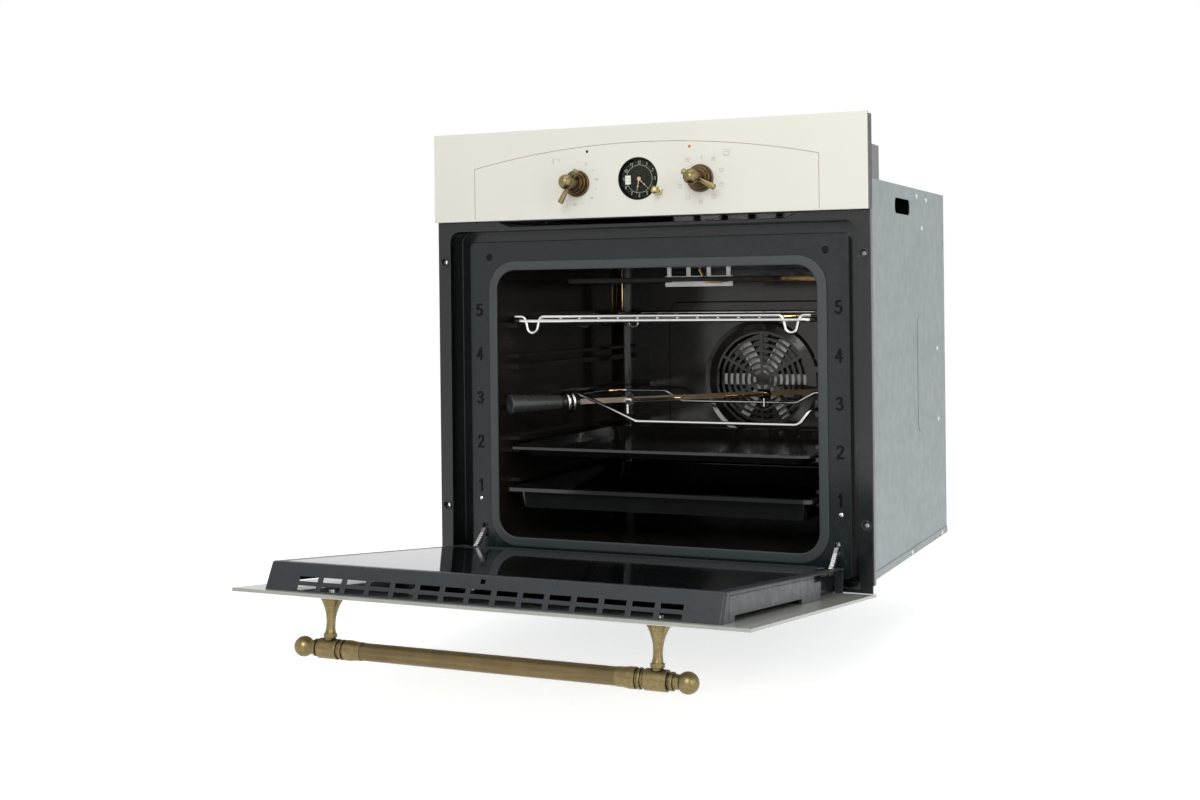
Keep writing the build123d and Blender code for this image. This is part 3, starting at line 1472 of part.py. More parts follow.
with BuildPart() as spit_cradle:
    side_z = rail_first + rail_step * 2 + wire_r
    top_start, way_start = coil_point(0)
    top_end, way_end = coil_point(coil_turns)
    with BuildLine() as cradle_path:
        left_x = -cradle_half
        lead = cradle_bend
        near = top_start - way_start * lead
        bent_path(
            [
                (left_x, cradle_side_y[2], side_z),
                (left_x, cradle_side_y[1], side_z),
                tuple(near),
            ],
            cradle_bend,
        )
    run_in = (near - Vector(left_x, cradle_side_y[1], side_z)).normalized()
    with BuildLine() as coil_path:
        add(cradle_path.line)
        biarc(near, run_in, top_start, way_start)
        spots = [coil_point(i / 4) for i in range(coil_turns * 4 + 1)]
        for (spot, way), (following, next_way) in zip(spots, spots[1:]):
            biarc(spot, way, following, next_way)
        bar_start = Vector(cradle_front_x[0], cradle_y[0], cradle_low_front)
        far = top_end + way_end * lead
        run_out = (bar_start - far).normalized()
        far = far + Vector(0, 0, -1)
        run_out = (bar_start - far).normalized()
        biarc(top_end, way_end, far, run_out)
        bent_path(
            [
                tuple(far),
                tuple(bar_start),
                (cradle_front_x[1], cradle_y[0], cradle_low_front),
                (cradle_step_x, cradle_y[0], side_z),
                (cradle_half, cradle_side_y[0], side_z),
                (cradle_half, cradle_side_y[3], side_z),
                (cradle_step_x - cradle_bend, cradle_y[1], side_z),
                (cradle_rear_x[1] + cradle_rise, cradle_y[1], side_z),
                (cradle_rear_x[1], cradle_y[1], cradle_low_rear),
                (cradle_rear_x[0], cradle_y[1], cradle_low_rear),
                (cradle_rear_x[0] - cradle_rise, cradle_y[1], side_z),
                (-cradle_step_x + cradle_bend, cradle_y[1], side_z),
                (left_x, cradle_side_y[3], side_z),
                (left_x, cradle_side_y[2] + weld_gap, side_z),
            ],
            cradle_bend,
        )
    tube_on(coil_path, wire_r)
    weld = Plane(
        origin=(left_x, cradle_side_y[2] + weld_gap / 2, side_z), x_dir=(0, 1, 0), z_dir=(0, 0, 1)
    )
    rod(weld, -weld_half, weld_half, wire_r)
finish(spit_cradle, "spit_cradle")

coil_pitch = (coil_x[1] - coil_x[0]) / coil_turns
samples = [coil_point(i / 48)[0] for i in range(coil_turns * 48 + 1)]
least = min(
    (samples[i] - samples[j]).length - 2 * wire_r
    for i in range(len(samples))
    for j in range(i + 24, len(samples))
)
print("cradle coil: turns", coil_turns, "pitch", coil_pitch, "least gap to itself", round(least, 2))

with BuildPart() as spit_handle:
    turned(spit_plane, grip_profile)
    rod(spit_plane, 0, grip_dimple[1], grip_dimple[0], mode=Mode.SUBTRACT)
finish(spit_handle, "spit_handle")

with BuildPart(spit_plane) as spit_rod:
    rod(spit_plane, journal_x[0], journal_x[1], journal_r)
    block((journal_x[1], spit_stop), (-spit_half, spit_half), (-spit_half, spit_half))
finish(spit_rod, "spit_rod")

with BuildPart(spit_plane) as spit_sleeve:
    rod(spit_plane, sleeve_x[0], sleeve_x[1], sleeve_r)
    block(
        (sleeve_x[0], sleeve_x[0] + sleeve_socket),
        (-spit_half, spit_half),
        (-spit_half, spit_half),
        mode=Mode.SUBTRACT,
    )
finish(spit_sleeve, "spit_sleeve")

with BuildPart() as spit_gearbox:
    with BuildSketch(Plane.XY.offset(spit_z - gearbox_half)):
        with BuildLine():
            Polyline(*gearbox_plan, close=True)
        make_face()
    extrude(amount=gearbox_half * 2)
    rod(spit_plane, 0, sleeve_x[1] + run_fit, sleeve_r + run_fit, mode=Mode.SUBTRACT)
finish(spit_gearbox, "spit_gearbox")

with BuildPart(spit_plane) as spit_forks:
    for x, way in ((fork_x[0], 1), (fork_x[1], -1)):
        hub_x = (x - fork_hub[0] / 2, x + fork_hub[0] / 2)
        block(hub_x, (-fork_hub[1] / 2, fork_hub[1] / 2), (-fork_hub_half_z, fork_hub_half_z))
        for sign in (-1, 1):
            cross = Plane(
                origin=spit_plane.from_local_coords((x, 0, 0)), x_dir=spit_plane.y_dir, z_dir=(0, 0, 1)
            )
            rod(cross, sign * spit_half, sign * (fork_reach + fork_tine_r), fork_tine_r)
            tine = Plane(
                origin=spit_plane.from_local_coords((x, sign * fork_reach, 0)),
                x_dir=spit_plane.x_dir,
                z_dir=(0, 0, 1),
            )
            turned(
                tine,
                [
                    (-way * fork_tine_r, fork_tine_r),
                    (way * (fork_tine_length - fork_hub[0]), fork_tine_r),
                    (way * fork_tine_length, bead_t),
                ],
            )
        block(
            (x - fork_hub[0], x + fork_hub[0]),
            (-spit_half, spit_half),
            (-spit_half, spit_half),
            mode=Mode.SUBTRACT,
        )
        screw_hole = Plane(
            origin=spit_plane.from_local_coords((x, 0, -spit_half)), x_dir=(0, 0, -1), z_dir=(1, 0, 0)
        )
        rod(screw_hole, 0, fork_screw_drop, fork_screw_r, mode=Mode.SUBTRACT)
finish(spit_forks, "spit_forks")

with BuildPart() as fork_screws:
    for x in fork_x:
        shank = Plane(
            origin=spit_plane.from_local_coords((x, 0, -spit_half)), x_dir=(0, 0, -1), z_dir=(1, 0, 0)
        )
        rod(shank, 0, fork_screw_drop - spit_half, fork_screw_r)
        wing = Plane(
            origin=spit_plane.from_local_coords((x, 0, -fork_screw_drop)),
            x_dir=spit_plane.x_dir,
            z_dir=(0, 0, 1),
        )
        rod(wing, -fork_bar_half, fork_bar_half, fork_bar_r)
finish(fork_screws, "fork_screws")
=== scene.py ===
import json
import math

import bmesh
import bpy
from mathutils import Matrix, Vector


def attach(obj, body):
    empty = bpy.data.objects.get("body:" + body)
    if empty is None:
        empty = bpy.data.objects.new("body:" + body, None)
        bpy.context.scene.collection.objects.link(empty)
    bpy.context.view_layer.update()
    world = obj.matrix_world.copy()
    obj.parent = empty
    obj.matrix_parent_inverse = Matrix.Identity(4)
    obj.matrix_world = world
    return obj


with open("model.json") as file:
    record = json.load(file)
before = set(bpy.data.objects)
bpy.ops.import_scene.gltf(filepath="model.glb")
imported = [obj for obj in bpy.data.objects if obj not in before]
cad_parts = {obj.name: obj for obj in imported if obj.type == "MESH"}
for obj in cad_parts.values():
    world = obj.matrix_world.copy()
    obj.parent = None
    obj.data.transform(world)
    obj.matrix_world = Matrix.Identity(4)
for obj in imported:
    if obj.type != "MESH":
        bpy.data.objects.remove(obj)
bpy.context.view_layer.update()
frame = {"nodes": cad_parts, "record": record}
nodes = frame["nodes"]

# ---- Shared places, in millimetres of the drawing; Y = 0 is the outer face of the front glass ----
NICHE_Y = 20.0
KNOB_X = 85.0
KNOB_Z = 505.0
CLOCK_Z = 508.0
DIAL_DEPTH = 5.0
PRINT_LIFT = 0.04
MM = 1000

# ---- Directions at rest, in which the coloured sides of the two front glasses look ----
DOOR_OPEN = math.radians(83.86)
DOOR_OUT = (0, -math.cos(DOOR_OPEN), -math.sin(DOOR_OPEN))
PANEL_OUT = (0, -1, 0)


def spot(x, y, z):
    """A place in the drawing, in metres of the shared frame."""
    return Vector((x, y - NICHE_Y, z)) / MM


def linear(red, green, blue):
    """A colour written as 0 to 255 screen values, as linear values with alpha."""
    values = []
    for value in (red, green, blue):
        value /= 255
        values.append(value / 12.92 if value <= 0.04045 else ((value + 0.055) / 1.055) ** 2.4)
    return (*values, 1.0)


def shaded(colour, factor):
    """The colour made darker or lighter by a factor."""
    return tuple(min(1.0, value * factor) for value in colour[:3]) + (1.0,)


# ---- Materials ----
NOISE_BAND = (0.3, 0.7)  # most of a noise's values lie between these
SAMPLES = 6
FACING_LIMIT = 0.6
MIX_INPUTS = (0, 6, 7)  # factor and the two colours of a Mix node set to colours
MIX_OUTPUT = 2


class Shader:
    """A node material on a Principled shader, with short calls to add nodes."""

    def __init__(self, name):
        self.mat = bpy.data.materials.new(name)
        self.mat.use_nodes = True
        self.tree = self.mat.node_tree
        self.bsdf = self.tree.nodes["Principled BSDF"]
        self.place = self.add("ShaderNodeTexCoord").outputs["Object"]

    def add(self, kind, **settings):
        node = self.tree.nodes.new(kind)
        for key, value in settings.items():
            setattr(node, key, value)
        return node

    def join(self, source, target):
        self.tree.links.new(source, target)

    def feed(self, socket, value):
        """Link another node's output to the socket, or write a constant on it."""
        if isinstance(value, bpy.types.NodeSocket):
            self.join(value, socket)
        else:
            socket.default_value = value

    def stretched(self, scale):
        """The place scaled by a factor along each axis."""
        node = self.add("ShaderNodeMapping")
        node.inputs["Scale"].default_value = scale
        self.join(self.place, node.inputs["Vector"])
        return node.outputs["Vector"]

    def noise(self, scale, detail=3.0, rough=0.5, vector=None):
        node = self.add("ShaderNodeTexNoise")
        self.join(vector or self.place, node.inputs["Vector"])
        node.inputs["Scale"].default_value = scale
        node.inputs["Detail"].default_value = detail
        node.inputs["Roughness"].default_value = rough
        return node.outputs["Fac"]

    def cells(self, scale):
        node = self.add("ShaderNodeTexVoronoi")
        self.join(self.place, node.inputs["Vector"])
        node.inputs["Scale"].default_value = scale
        return node.outputs["Color"]

    def ramp(self, fac, *stops):
        """Colours or plain values at positions of a factor, with smooth steps between."""
        node = self.add("ShaderNodeValToRGB")
        self.join(fac, node.inputs["Fac"])
        for element, (position, colour) in zip(node.color_ramp.elements, stops):
            element.position = position
            element.color = colour if isinstance(colour, tuple) else (colour, colour, colour, 1.0)
        return node.outputs["Color"]

    def between(self, noise, low, high):
        """The range from low to high, spread over a noise."""
        return self.ramp(noise, (NOISE_BAND[0], low), (NOISE_BAND[1], high))

    def mix(self, fac, low, high):
        node = self.add("ShaderNodeMix", data_type="RGBA")
        for index, value in zip(MIX_INPUTS, (fac, low, high)):
            self.feed(node.inputs[index], value)
        return node.outputs[MIX_OUTPUT]

    def maths(self, operation, first, second):
        node = self.add("ShaderNodeMath", operation=operation)
        for socket, value in zip(node.inputs, (first, second)):
            self.feed(socket, value)
        return node.outputs[0]

    def facing(self, direction):
        """1 where the surface at rest faces that way, 0 elsewhere."""
        normal = self.add("ShaderNodeTexCoord").outputs["Normal"]
        node = self.add("ShaderNodeVectorMath", operation="DOT_PRODUCT")
        self.join(normal, node.inputs[0])
        node.inputs[1].default_value = direction
        return self.maths("GREATER_THAN", node.outputs["Value"], FACING_LIMIT)

    def bumps(self, height, strength, distance, edge=0.0):
        """A relief, and softly rounded edges of the given radius in metres."""
        node = self.add("ShaderNodeBump")
        if edge:
            rounding = self.add("ShaderNodeBevel", samples=SAMPLES)
            rounding.inputs["Radius"].default_value = edge
            self.join(rounding.outputs["Normal"], node.inputs["Normal"])
        node.inputs["Strength"].default_value = strength
        node.inputs["Distance"].default_value = distance
        self.join(height, node.inputs["Height"])
        self.join(node.outputs["Normal"], self.bsdf.inputs["Normal"])

    def rough(self, noise, low, high):
        self.join(self.between(noise, low, high), self.bsdf.inputs["Roughness"])

    def base(self, colour):
        self.join(colour, self.bsdf.inputs["Base Color"])


def enamel(name, colour, roughness, spread=0.10, peel=0.06, coat=0.0, speck=0.0, shine=0.5, edge=0.0):
    """Fired enamel or paint: soft clouds, orange peel and, where asked, pale specks."""
    s = Shader(name)
    tone = s.between(s.noise(28.0, detail=4.0), shaded(colour, 1 - spread), shaded(colour, 1 + spread))
    if speck:
        dots = s.ramp(s.noise(1400.0, detail=1.0), (0.70, 0.0), (0.76, speck))
        tone = s.mix(dots, tone, shaded(colour, 4.0))
    s.base(tone)
    s.rough(s.noise(90.0), roughness * 0.8, roughness * 1.25)
    s.bumps(s.noise(420.0, detail=2.0), peel, 0.0006, edge)
    s.bsdf.inputs["Coat Weight"].default_value = coat
    s.bsdf.inputs["Coat Roughness"].default_value = 0.05
    s.bsdf.inputs["Specular IOR Level"].default_value = shine
    return s.mat


def metal(name, colour, roughness, grain=(1, 1, 1), scale=900.0, spread=0.12, depth=0.08, metallic=1.0):
    """Plain metal with a drawn or brushed grain along the axis with the small factor."""
    s = Shader(name)
    lines = s.noise(scale, rough=0.6, vector=s.stretched(grain))
    s.base(s.between(lines, shaded(colour, 1 - spread), shaded(colour, 1 + spread)))
    s.rough(s.noise(60.0, detail=4.0), roughness * 0.8, roughness * 1.3)
    s.bumps(lines, depth, 0.0004)
    s.bsdf.inputs["Metallic"].default_value = metallic
    return s.mat


def plastic(name, colour, roughness, grain=1600.0, depth=0.12, shine=0.5, edge=0.0):
    """Moulded plastic with a fine leather-like grain."""
    s = Shader(name)
    s.base(s.mix(s.noise(35.0), shaded(colour, 0.9), shaded(colour, 1.12)))
    s.rough(s.noise(150.0, detail=2.0), roughness * 0.85, roughness * 1.15)
    s.bumps(s.noise(grain, detail=2.0), depth, 0.0004, edge)
    s.bsdf.inputs["Specular IOR Level"].default_value = shine
    return s.mat


def aged_brass(name, light, dark, grain=(1, 1, 1)):
    """Antiqued brass: bright on open areas and brown in hollows and close to other parts, partly the brass's
    own patina and partly painted shade from an occlusion mask, with a fine brushed bronze wash.
    """
    s = Shader(name)
    # Painted shade with patina: ambient occlusion darkens hollows and spots near other parts towards the dark
    # brown.
    patina_and_shade_probe = s.add("ShaderNodeAmbientOcclusion", samples=SAMPLES)
    patina_and_shade_probe.inputs["Distance"].default_value = 0.009
    free_of_patina_and_shade = s.ramp(patina_and_shade_probe.outputs["AO"], (0.40, 0.0), (0.92, 1.0))
    brushed = s.noise(300.0, detail=4.0, rough=0.6, vector=s.stretched(grain))
    wash = s.ramp(brushed, (0.34, 0.72), (0.68, 1.0))
    blotch = s.between(s.noise(45.0), 0.8, 1.0)
    amount = s.maths("MULTIPLY", s.maths("MULTIPLY", free_of_patina_and_shade, blotch), wash)
    s.base(s.mix(amount, dark, light))
    s.join(s.ramp(amount, (0.0, 0.48), (1.0, 0.25)), s.bsdf.inputs["Roughness"])
    s.bumps(wash, 0.05, 0.0003)
    s.bsdf.inputs["Metallic"].default_value = 0.92
    return s.mat


def printed_glass(name, front, back, direction):
    """Glass with colour fired on its back: ivory seen through the front, grey on the reverse."""
    s = Shader(name)
    ivory = s.between(s.noise(9.0), shaded(front, 0.985), shaded(front, 1.015))
    grey = s.between(s.noise(40.0), shaded(back, 0.93), shaded(back, 1.07))
    s.base(s.mix(s.facing(direction), grey, ivory))
    s.rough(s.noise(24.0, detail=2.0), 0.30, 0.36)
    s.bumps(s.noise(6.0, detail=1.0), 0.015, 0.001)
    s.bsdf.inputs["Coat Weight"].default_value = 0.55
    s.bsdf.inputs["Coat Roughness"].default_value = 0.03
    return s.mat


def black_mirror(name):
    """Dark coated glass, polished."""
    s = Shader(name)
    s.base(s.between(s.noise(12.0), 0.004, 0.008))
    s.rough(s.noise(18.0), 0.03, 0.07)
    s.bumps(s.noise(5.0, detail=1.0), 0.01, 0.001)
    s.bsdf.inputs["IOR"].default_value = 1.38
    return s.mat


def galvanised(name):
    """Zinc-coated sheet: cool grey with soft spangles and long rolling streaks."""
    s = Shader(name)
    spangle = s.ramp(s.cells(110.0), (0.1, 0.0), (0.9, 1.0))
    streak = s.noise(14.0, detail=4.0, rough=0.6, vector=s.stretched((1.0, 0.35, 2.2)))
    tone = s.ramp(streak, (0.25, linear(139, 149, 152)), (0.75, linear(148, 158, 161)))
    s.base(s.mix(s.maths("MULTIPLY", spangle, 0.015), tone, linear(200, 208, 210)))
    s.rough(s.noise(55.0), 0.34, 0.48)
    s.bumps(s.cells(150.0), 0.015, 0.0004)
    s.bsdf.inputs["Metallic"].default_value = 0.35
    return s.mat


def glowing(name, colour, strength, roughness):
    """Moulded glass or plastic lit from behind."""
    s = Shader(name)
    clouds = s.noise(200.0, detail=2.0)
    s.base(s.between(clouds, shaded(colour, 0.9), colour))
    s.rough(s.noise(90.0, detail=2.0), roughness * 0.8, roughness * 1.2)
    s.bumps(clouds, 0.15, 0.0005)
    s.bsdf.inputs["Emission Color"].default_value = colour
    s.bsdf.inputs["Emission Strength"].default_value = strength
    return s.mat


def clear_glass(name, tint):
    """Thin clear glass that hardly bends the view."""
    s = Shader(name)
    s.base(s.between(s.noise(20.0, detail=2.0), shaded(tint, 0.97), tint))
    s.rough(s.noise(30.0, detail=2.0), 0.01, 0.03)
    s.bsdf.inputs["Transmission Weight"].default_value = 1.0
    s.bsdf.inputs["IOR"].default_value = 1.1
    return s.mat


def wool(name):
    """Mineral wool: matted pale fibres."""
    s = Shader(name)
    fibres = s.noise(700.0, detail=4.0, rough=0.7)
    s.base(s.between(fibres, linear(180, 172, 148), linear(220, 214, 196)))
    s.rough(fibres, 0.85, 1.0)
    s.bumps(fibres, 0.6, 0.002)
    return s.mat


def ink(name, colour, roughness=0.45):
    """Printing ink: a thin fired colour with a slight ragged tone."""
    s = Shader(name)
    s.base(s.between(s.noise(500.0), shaded(colour, 0.88), shaded(colour, 1.1)))
    s.rough(s.noise(300.0, detail=2.0), roughness * 0.85, roughness * 1.15)
    return s.mat


IVORY = linear(229, 227, 216)
# Light and dark ends of the antiqued brass; the dark end is patina and painted shade in hollows.
BRASS_LIGHT = linear(142, 127, 88)
BRASS_PATINA_AND_SHADE = linear(38, 29, 19)
looks = {
    "front_glass": printed_glass("front_glass_look", IVORY, linear(120, 120, 113), PANEL_OUT),
    "door_front": printed_glass("door_glass_look", IVORY, linear(158, 159, 152), DOOR_OUT),
    "black_glass": black_mirror("black_glass_look"),
    "clear_glass": clear_glass("clear_glass_look", (0.95, 0.97, 0.96, 1.0)),
    "black_enamel": enamel(
        "black_enamel_look", linear(31, 30, 27), 0.13, spread=0.2, peel=0.05, coat=0.10, speck=0.06
    ),
    "tray_enamel": enamel(
        "tray_enamel_look", linear(26, 27, 27), 0.12, spread=0.2, peel=0.04, coat=0.15, speck=0.06
    ),
    "grey_enamel": enamel(
        "grey_enamel_look", linear(23, 33, 35), 0.24, spread=0.07, peel=0.05, coat=0.03, shine=0.38,
        edge=0.0025,
    ),
    "frame_black": enamel(
        "frame_black_look", linear(9, 12, 12), 0.20, peel=0.05, coat=0.03, shine=0.55, edge=0.0025
    ),
    "liner_grey": enamel(
        "liner_grey_look", linear(44, 49, 52), 0.34, spread=0.05, peel=0.05, coat=0.03, shine=0.30,
        edge=0.0014,
    ),
    "number_grey": enamel("number_look", linear(6, 7, 8), 0.22, spread=0.08, shine=0.15, edge=0.0006),
    "gasket_grey": plastic("gasket_look", linear(52, 59, 60), 0.40, grain=2400.0, depth=0.15, edge=0.003),
    "black_plastic": plastic("black_plastic_look", linear(38, 39, 40), 0.42),
    "plug_black": plastic("plug_look", linear(6, 7, 8), 0.30, depth=0.05, shine=0.18),
    "grip_black": plastic("grip_look", linear(54, 56, 57), 0.30, grain=900.0, depth=0.015),
    "lens_dark": plastic("lens_dark_look", linear(30, 30, 32), 0.15, grain=600.0, depth=0.05),
    "clock_body": plastic("clock_body_look", linear(32, 33, 26), 0.45, grain=1500.0, depth=0.05, shine=0.12),
    "zinc": galvanised("zinc_look"),
    "screw_zinc": metal("screw_look", (0.72, 0.73, 0.72, 1.0), 0.28, scale=700.0),
    "steel": metal("steel_look", (0.60, 0.60, 0.59, 1.0), 0.34, grain=(0.1, 1, 1)),
    "chrome_wire": metal("chrome_look", (0.68, 0.68, 0.67, 1.0), 0.16, scale=500.0, spread=0.05, depth=0.03),
    "spit_wire": metal(
        "spit_look", (0.36, 0.32, 0.24, 1.0), 0.38, grain=(0.1, 0.1, 1), scale=500.0, spread=0.08, depth=0.04,
        metallic=0.75,
    ),
    "element": metal("element_look", (0.02, 0.019, 0.018, 1.0), 0.8, scale=800.0, metallic=0.0),
    "copper": metal("copper_look", (0.80, 0.52, 0.26, 1.0), 0.3, scale=600.0),
    "hand_brown": metal("hand_look", linear(226, 200, 160), 0.4, metallic=0.2),
    "hand_rose": metal("minute_hand_look", linear(232, 184, 154), 0.4, metallic=0.2),
    "brass": aged_brass("brass_look", BRASS_LIGHT, BRASS_PATINA_AND_SHADE),
    "brass_bar": aged_brass("brass_bar_look", linear(123, 107, 75), linear(50, 39, 26), grain=(0.06, 1, 1)),
    "brass_dark": aged_brass("brass_lever_look", linear(154, 138, 98), BRASS_PATINA_AND_SHADE),
    "brass_brown": aged_brass("brass_rosette_look", linear(122, 101, 72), linear(32, 21, 13)),
    "brass_pale": aged_brass("brass_pale_look", linear(206, 192, 142), linear(92, 78, 48)),
    "lens_orange": glowing("lens_orange_look", linear(204, 116, 74), 0.06, 0.15),
    "lamp_glass": glowing("lamp_look", linear(255, 206, 138), 60.0, 0.2),
    "wool": wool("wool_look"),
}

# A node takes the look of its slot in the record, apart from these.
own_look = {
    "door_glass": "door_front",
    "handle_bar": "brass_bar",
    "spit_rod": "spit_wire",
    "minute_hand": "hand_rose",
    "hinge_arms": "screw_zinc",
    "setting_knob": "brass_pale",
    "knob_rosettes": "brass_brown",
}
for row in frame["record"]["subparts"]:
    name = row["node"]
    materials = nodes[name].data.materials
    materials.clear()
    materials.append(looks[own_look.get(name, row["material_slot"])])


def second_look(node, look, chosen):
    """Give the node's polygons that are chosen by their centre another look."""
    mesh = nodes[node].data
    mesh.materials.append(looks[look])
    for polygon in mesh.polygons:
        polygon.material_index = int(chosen(polygon.center))


# The turned bearing inside the cradle's coil takes a dark look, painted shade for the dark gaps between the
# coil's turns; the square rod behind it is bright.
SPIT_START = spot(-210.5, 44.5, 214.0)
BEARING_END = 0.1012
second_look("spit_rod", "lens_dark", lambda centre: (centre - SPIT_START).length < BEARING_END)

# The face plate's upper fasteners are black plugs, the lower ones bright screws.
PLUGS_OVER = 0.2
second_look("plate_fasteners", "plug_black", lambda centre: centre.z > PLUGS_OVER)

# ---- Smooth shading, and small rounded edges where folded and pressed sheets catch the light ----
SHARP_ANGLE = math.radians(32)
ROUNDED_ANGLE = math.radians(50)
ROUNDED_SEGMENTS = 2
ROUNDED_WIDTH = {  # millimetres
    "face_plate": 0.6,
    "opening_gasket": 0.6,
    "front_frame": 0.5,
    "deep_pan": 0.5,
    "shallow_tray": 0.5,
    "door_liner": 0.4,
    "rear_cover": 0.4,
    "control_glass": 0.4,
    "level_numbers": 0.3,
}
for obj in nodes.values():
    obj.data.shade_smooth()
    obj.data.set_sharp_from_angle(angle=SHARP_ANGLE)
for name, width in ROUNDED_WIDTH.items():
    bevel = nodes[name].modifiers.new("rounded", "BEVEL")
    bevel.width = width / MM
    bevel.segments = ROUNDED_SEGMENTS
    bevel.limit_method = "ANGLE"
    bevel.angle_limit = ROUNDED_ANGLE
    bevel.harden_normals = False

# ---- Printing: flat strokes along points (x, z), in millimetres ----
MITRE_LIMIT = 0.5
DIGIT_PITCH = 0.62
CORNER_LAP = 0.15
DIGITS = {  # strokes of a digit one unit high
    "0": [[(-0.2, 0.3), (0.0, 0.5), (0.2, 0.3), (0.2, -0.3), (0.0, -0.5), (-0.2, -0.3), (-0.2, 0.3)]],
    "1": [[(-0.12, 0.3), (0.05, 0.5), (0.05, -0.5)]],
    "2": [[(-0.22, 0.3), (-0.05, 0.5), (0.18, 0.4), (0.2, 0.15), (-0.24, -0.5), (0.24, -0.5)]],
    "3": [[(-0.2, 0.42), (0.08, 0.5), (0.2, 0.28), (0.0, 0.04), (0.22, -0.2), (0.1, -0.48), (-0.22, -0.42)]],
    "4": [[(0.1, -0.5), (0.1, 0.5), (-0.26, -0.2), (0.26, -0.2)]],
    "5": [[(0.2, 0.5), (-0.16, 0.5), (-0.2, 0.08), (0.1, 0.1), (0.22, -0.2), (0.06, -0.5), (-0.22, -0.4)]],
    "6": [[(0.16, 0.48), (-0.14, 0.2), (-0.2, -0.25), (0.0, -0.5), (0.2, -0.26), (0.02, -0.02),
           (-0.18, -0.18)]],
    "7": [[(-0.22, 0.5), (0.22, 0.5), (-0.06, -0.5)]],
    "8": [[(0.0, 0.03), (-0.18, 0.26), (0.0, 0.5), (0.18, 0.26), (0.0, 0.03), (-0.22, -0.24), (0.0, -0.5),
           (0.22, -0.24), (0.0, 0.03)]],
    "9": [[(0.18, 0.18), (0.0, 0.02), (-0.2, 0.26), (0.0, 0.5), (0.2, 0.25), (0.12, -0.25), (-0.14, -0.48)]],
}


def ribbon(bm, points, width, lift):
    """A flat stroke with mitred corners, standing lift in front of the front glass."""
    spots = [Vector(point) for point in points]
    left, right = [], []
    for i, place in enumerate(spots):
        before = spots[max(i - 1, 0)]
        after = spots[min(i + 1, len(spots) - 1)]
        way = (after - before).normalized()
        side = Vector((-way.y, way.x)) * width / 2
        if 0 < i < len(spots) - 1:
            side /= max(MITRE_LIMIT, abs((place - before).normalized().dot(way)))
        left.append(place + side)
        right.append(place - side)
    for quad in zip(left, left[1:], right[1:], right):
        bm.faces.new([bm.verts.new(spot(corner.x, -lift, corner.y)) for corner in quad])


def printed(name, strokes, width, lift, look):
    """One piece of printing on the housing, with its faces looking forward."""
    bm = bmesh.new()
    for points in strokes:
        ribbon(bm, points, width, lift)
    for face in bm.faces:
        face.normal_update()
        if face.normal.y > 0:
            face.normal_flip()
    mesh = bpy.data.meshes.new(name)
    bm.to_mesh(mesh)
    bm.free()
    mesh.materials.append(look)
    piece = bpy.data.objects.new(name, mesh)
    bpy.context.scene.collection.objects.link(piece)
    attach(piece, "housing")


def number_strokes(number, x, z, size):
    """The strokes of a number centred on (x, z)."""
    text = str(number)
    pitch = DIGIT_PITCH * size
    start = x - pitch * (len(text) - 1) / 2
    return [
        [(start + pitch * i + a * size, z + b * size) for a, b in stroke]
        for i, digit in enumerate(text)
        for stroke in DIGITS[digit]
    ]


def polar(cx, cz, radius, angle):
    """The place on a circle at an angle in degrees clockwise from the top."""
    return cx + radius * math.sin(math.radians(angle)), cz + radius * math.cos(math.radians(angle))


def arc_points(cx, cz, radius, start, end, steps):
    return [polar(cx, cz, radius, start + (end - start) * i / steps) for i in range(steps + 1)]


def box_stroke(x, z, width, height):
    """A box centred on (x, z), whose last side laps its first corner."""
    low, high = z - height / 2, z + height / 2
    left, right = x - width / 2, x + width / 2
    return [(left, low), (right, low), (right, high), (left, high), (left, low - CORNER_LAP)]


# ---- Line round the controls: two sides and an arch ----
LINE_LEFT = -235.5
LINE_RIGHT = 237.5
LINE_FOOT = 462.5
LINE_SHOULDER = 529.5
LINE_PEAK = 554.5
LINE_LAP = 0.2
LINE_WIDTH = 0.75
ARCH_STEPS = 48
half_span = (LINE_RIGHT - LINE_LEFT) / 2
rise = LINE_PEAK - LINE_SHOULDER
arch_radius = (half_span**2 + rise**2) / (2 * rise)
sweep = math.degrees(math.asin(half_span / arch_radius))
line = [
    [(LINE_LEFT, LINE_FOOT), (LINE_LEFT, LINE_SHOULDER + LINE_LAP)],
    arc_points((LINE_LEFT + LINE_RIGHT) / 2, LINE_PEAK - arch_radius, arch_radius, -sweep, sweep, ARCH_STEPS),
    [(LINE_RIGHT, LINE_SHOULDER + LINE_LAP), (LINE_RIGHT, LINE_FOOT)],
]
line_ink = ink("line_ink_look", linear(158, 128, 108))
printed("panel_line", line, LINE_WIDTH, PRINT_LIFT, line_ink)

# ---- Scales of the two knobs: numbers and ticks in turn on the left, small generic icons on the right ----
NUMBERS_R = 27.6
NUMBERS_START = 1
NUMBERS_TURN = 26.7
NUMBERS_STEP = 25
NUMBERS_SIZE = 3.0
TICK_HALF = 0.9
TICK_WIDTH = 0.6
DEGREE_BAR = [(-119.3, 531.8), (-119.3, 539.0)]
DEGREE_DASH = [(-117.2, 538.0), (-114.0, 538.0)]
DEGREE_RING = arc_points(-111.5, 536.6, 1.7, 0, 330, 10)
ICONS_R = 29.2
ICONS_TURN = 36
ICONS = (1, 2, 3, 4, 5, 6, 7, 9)
ICON_WIDTH = 4.6
ICON_HEIGHT = 4.4
ICON_LINE = 0.42
BAR_HALF = 1.5
BAR_RISE = 1.0
WAVE_X = 0.5
WAVE_Z = 0.6
OFF_MARK = [(86.1, 529.6), (86.1, 532.8)]
OVEN_ICON = [box_stroke(119.4, 535.4, 8.0, 7.2), box_stroke(119.4, 534.6, 5.6, 4.0)]
pale, dark = [], []
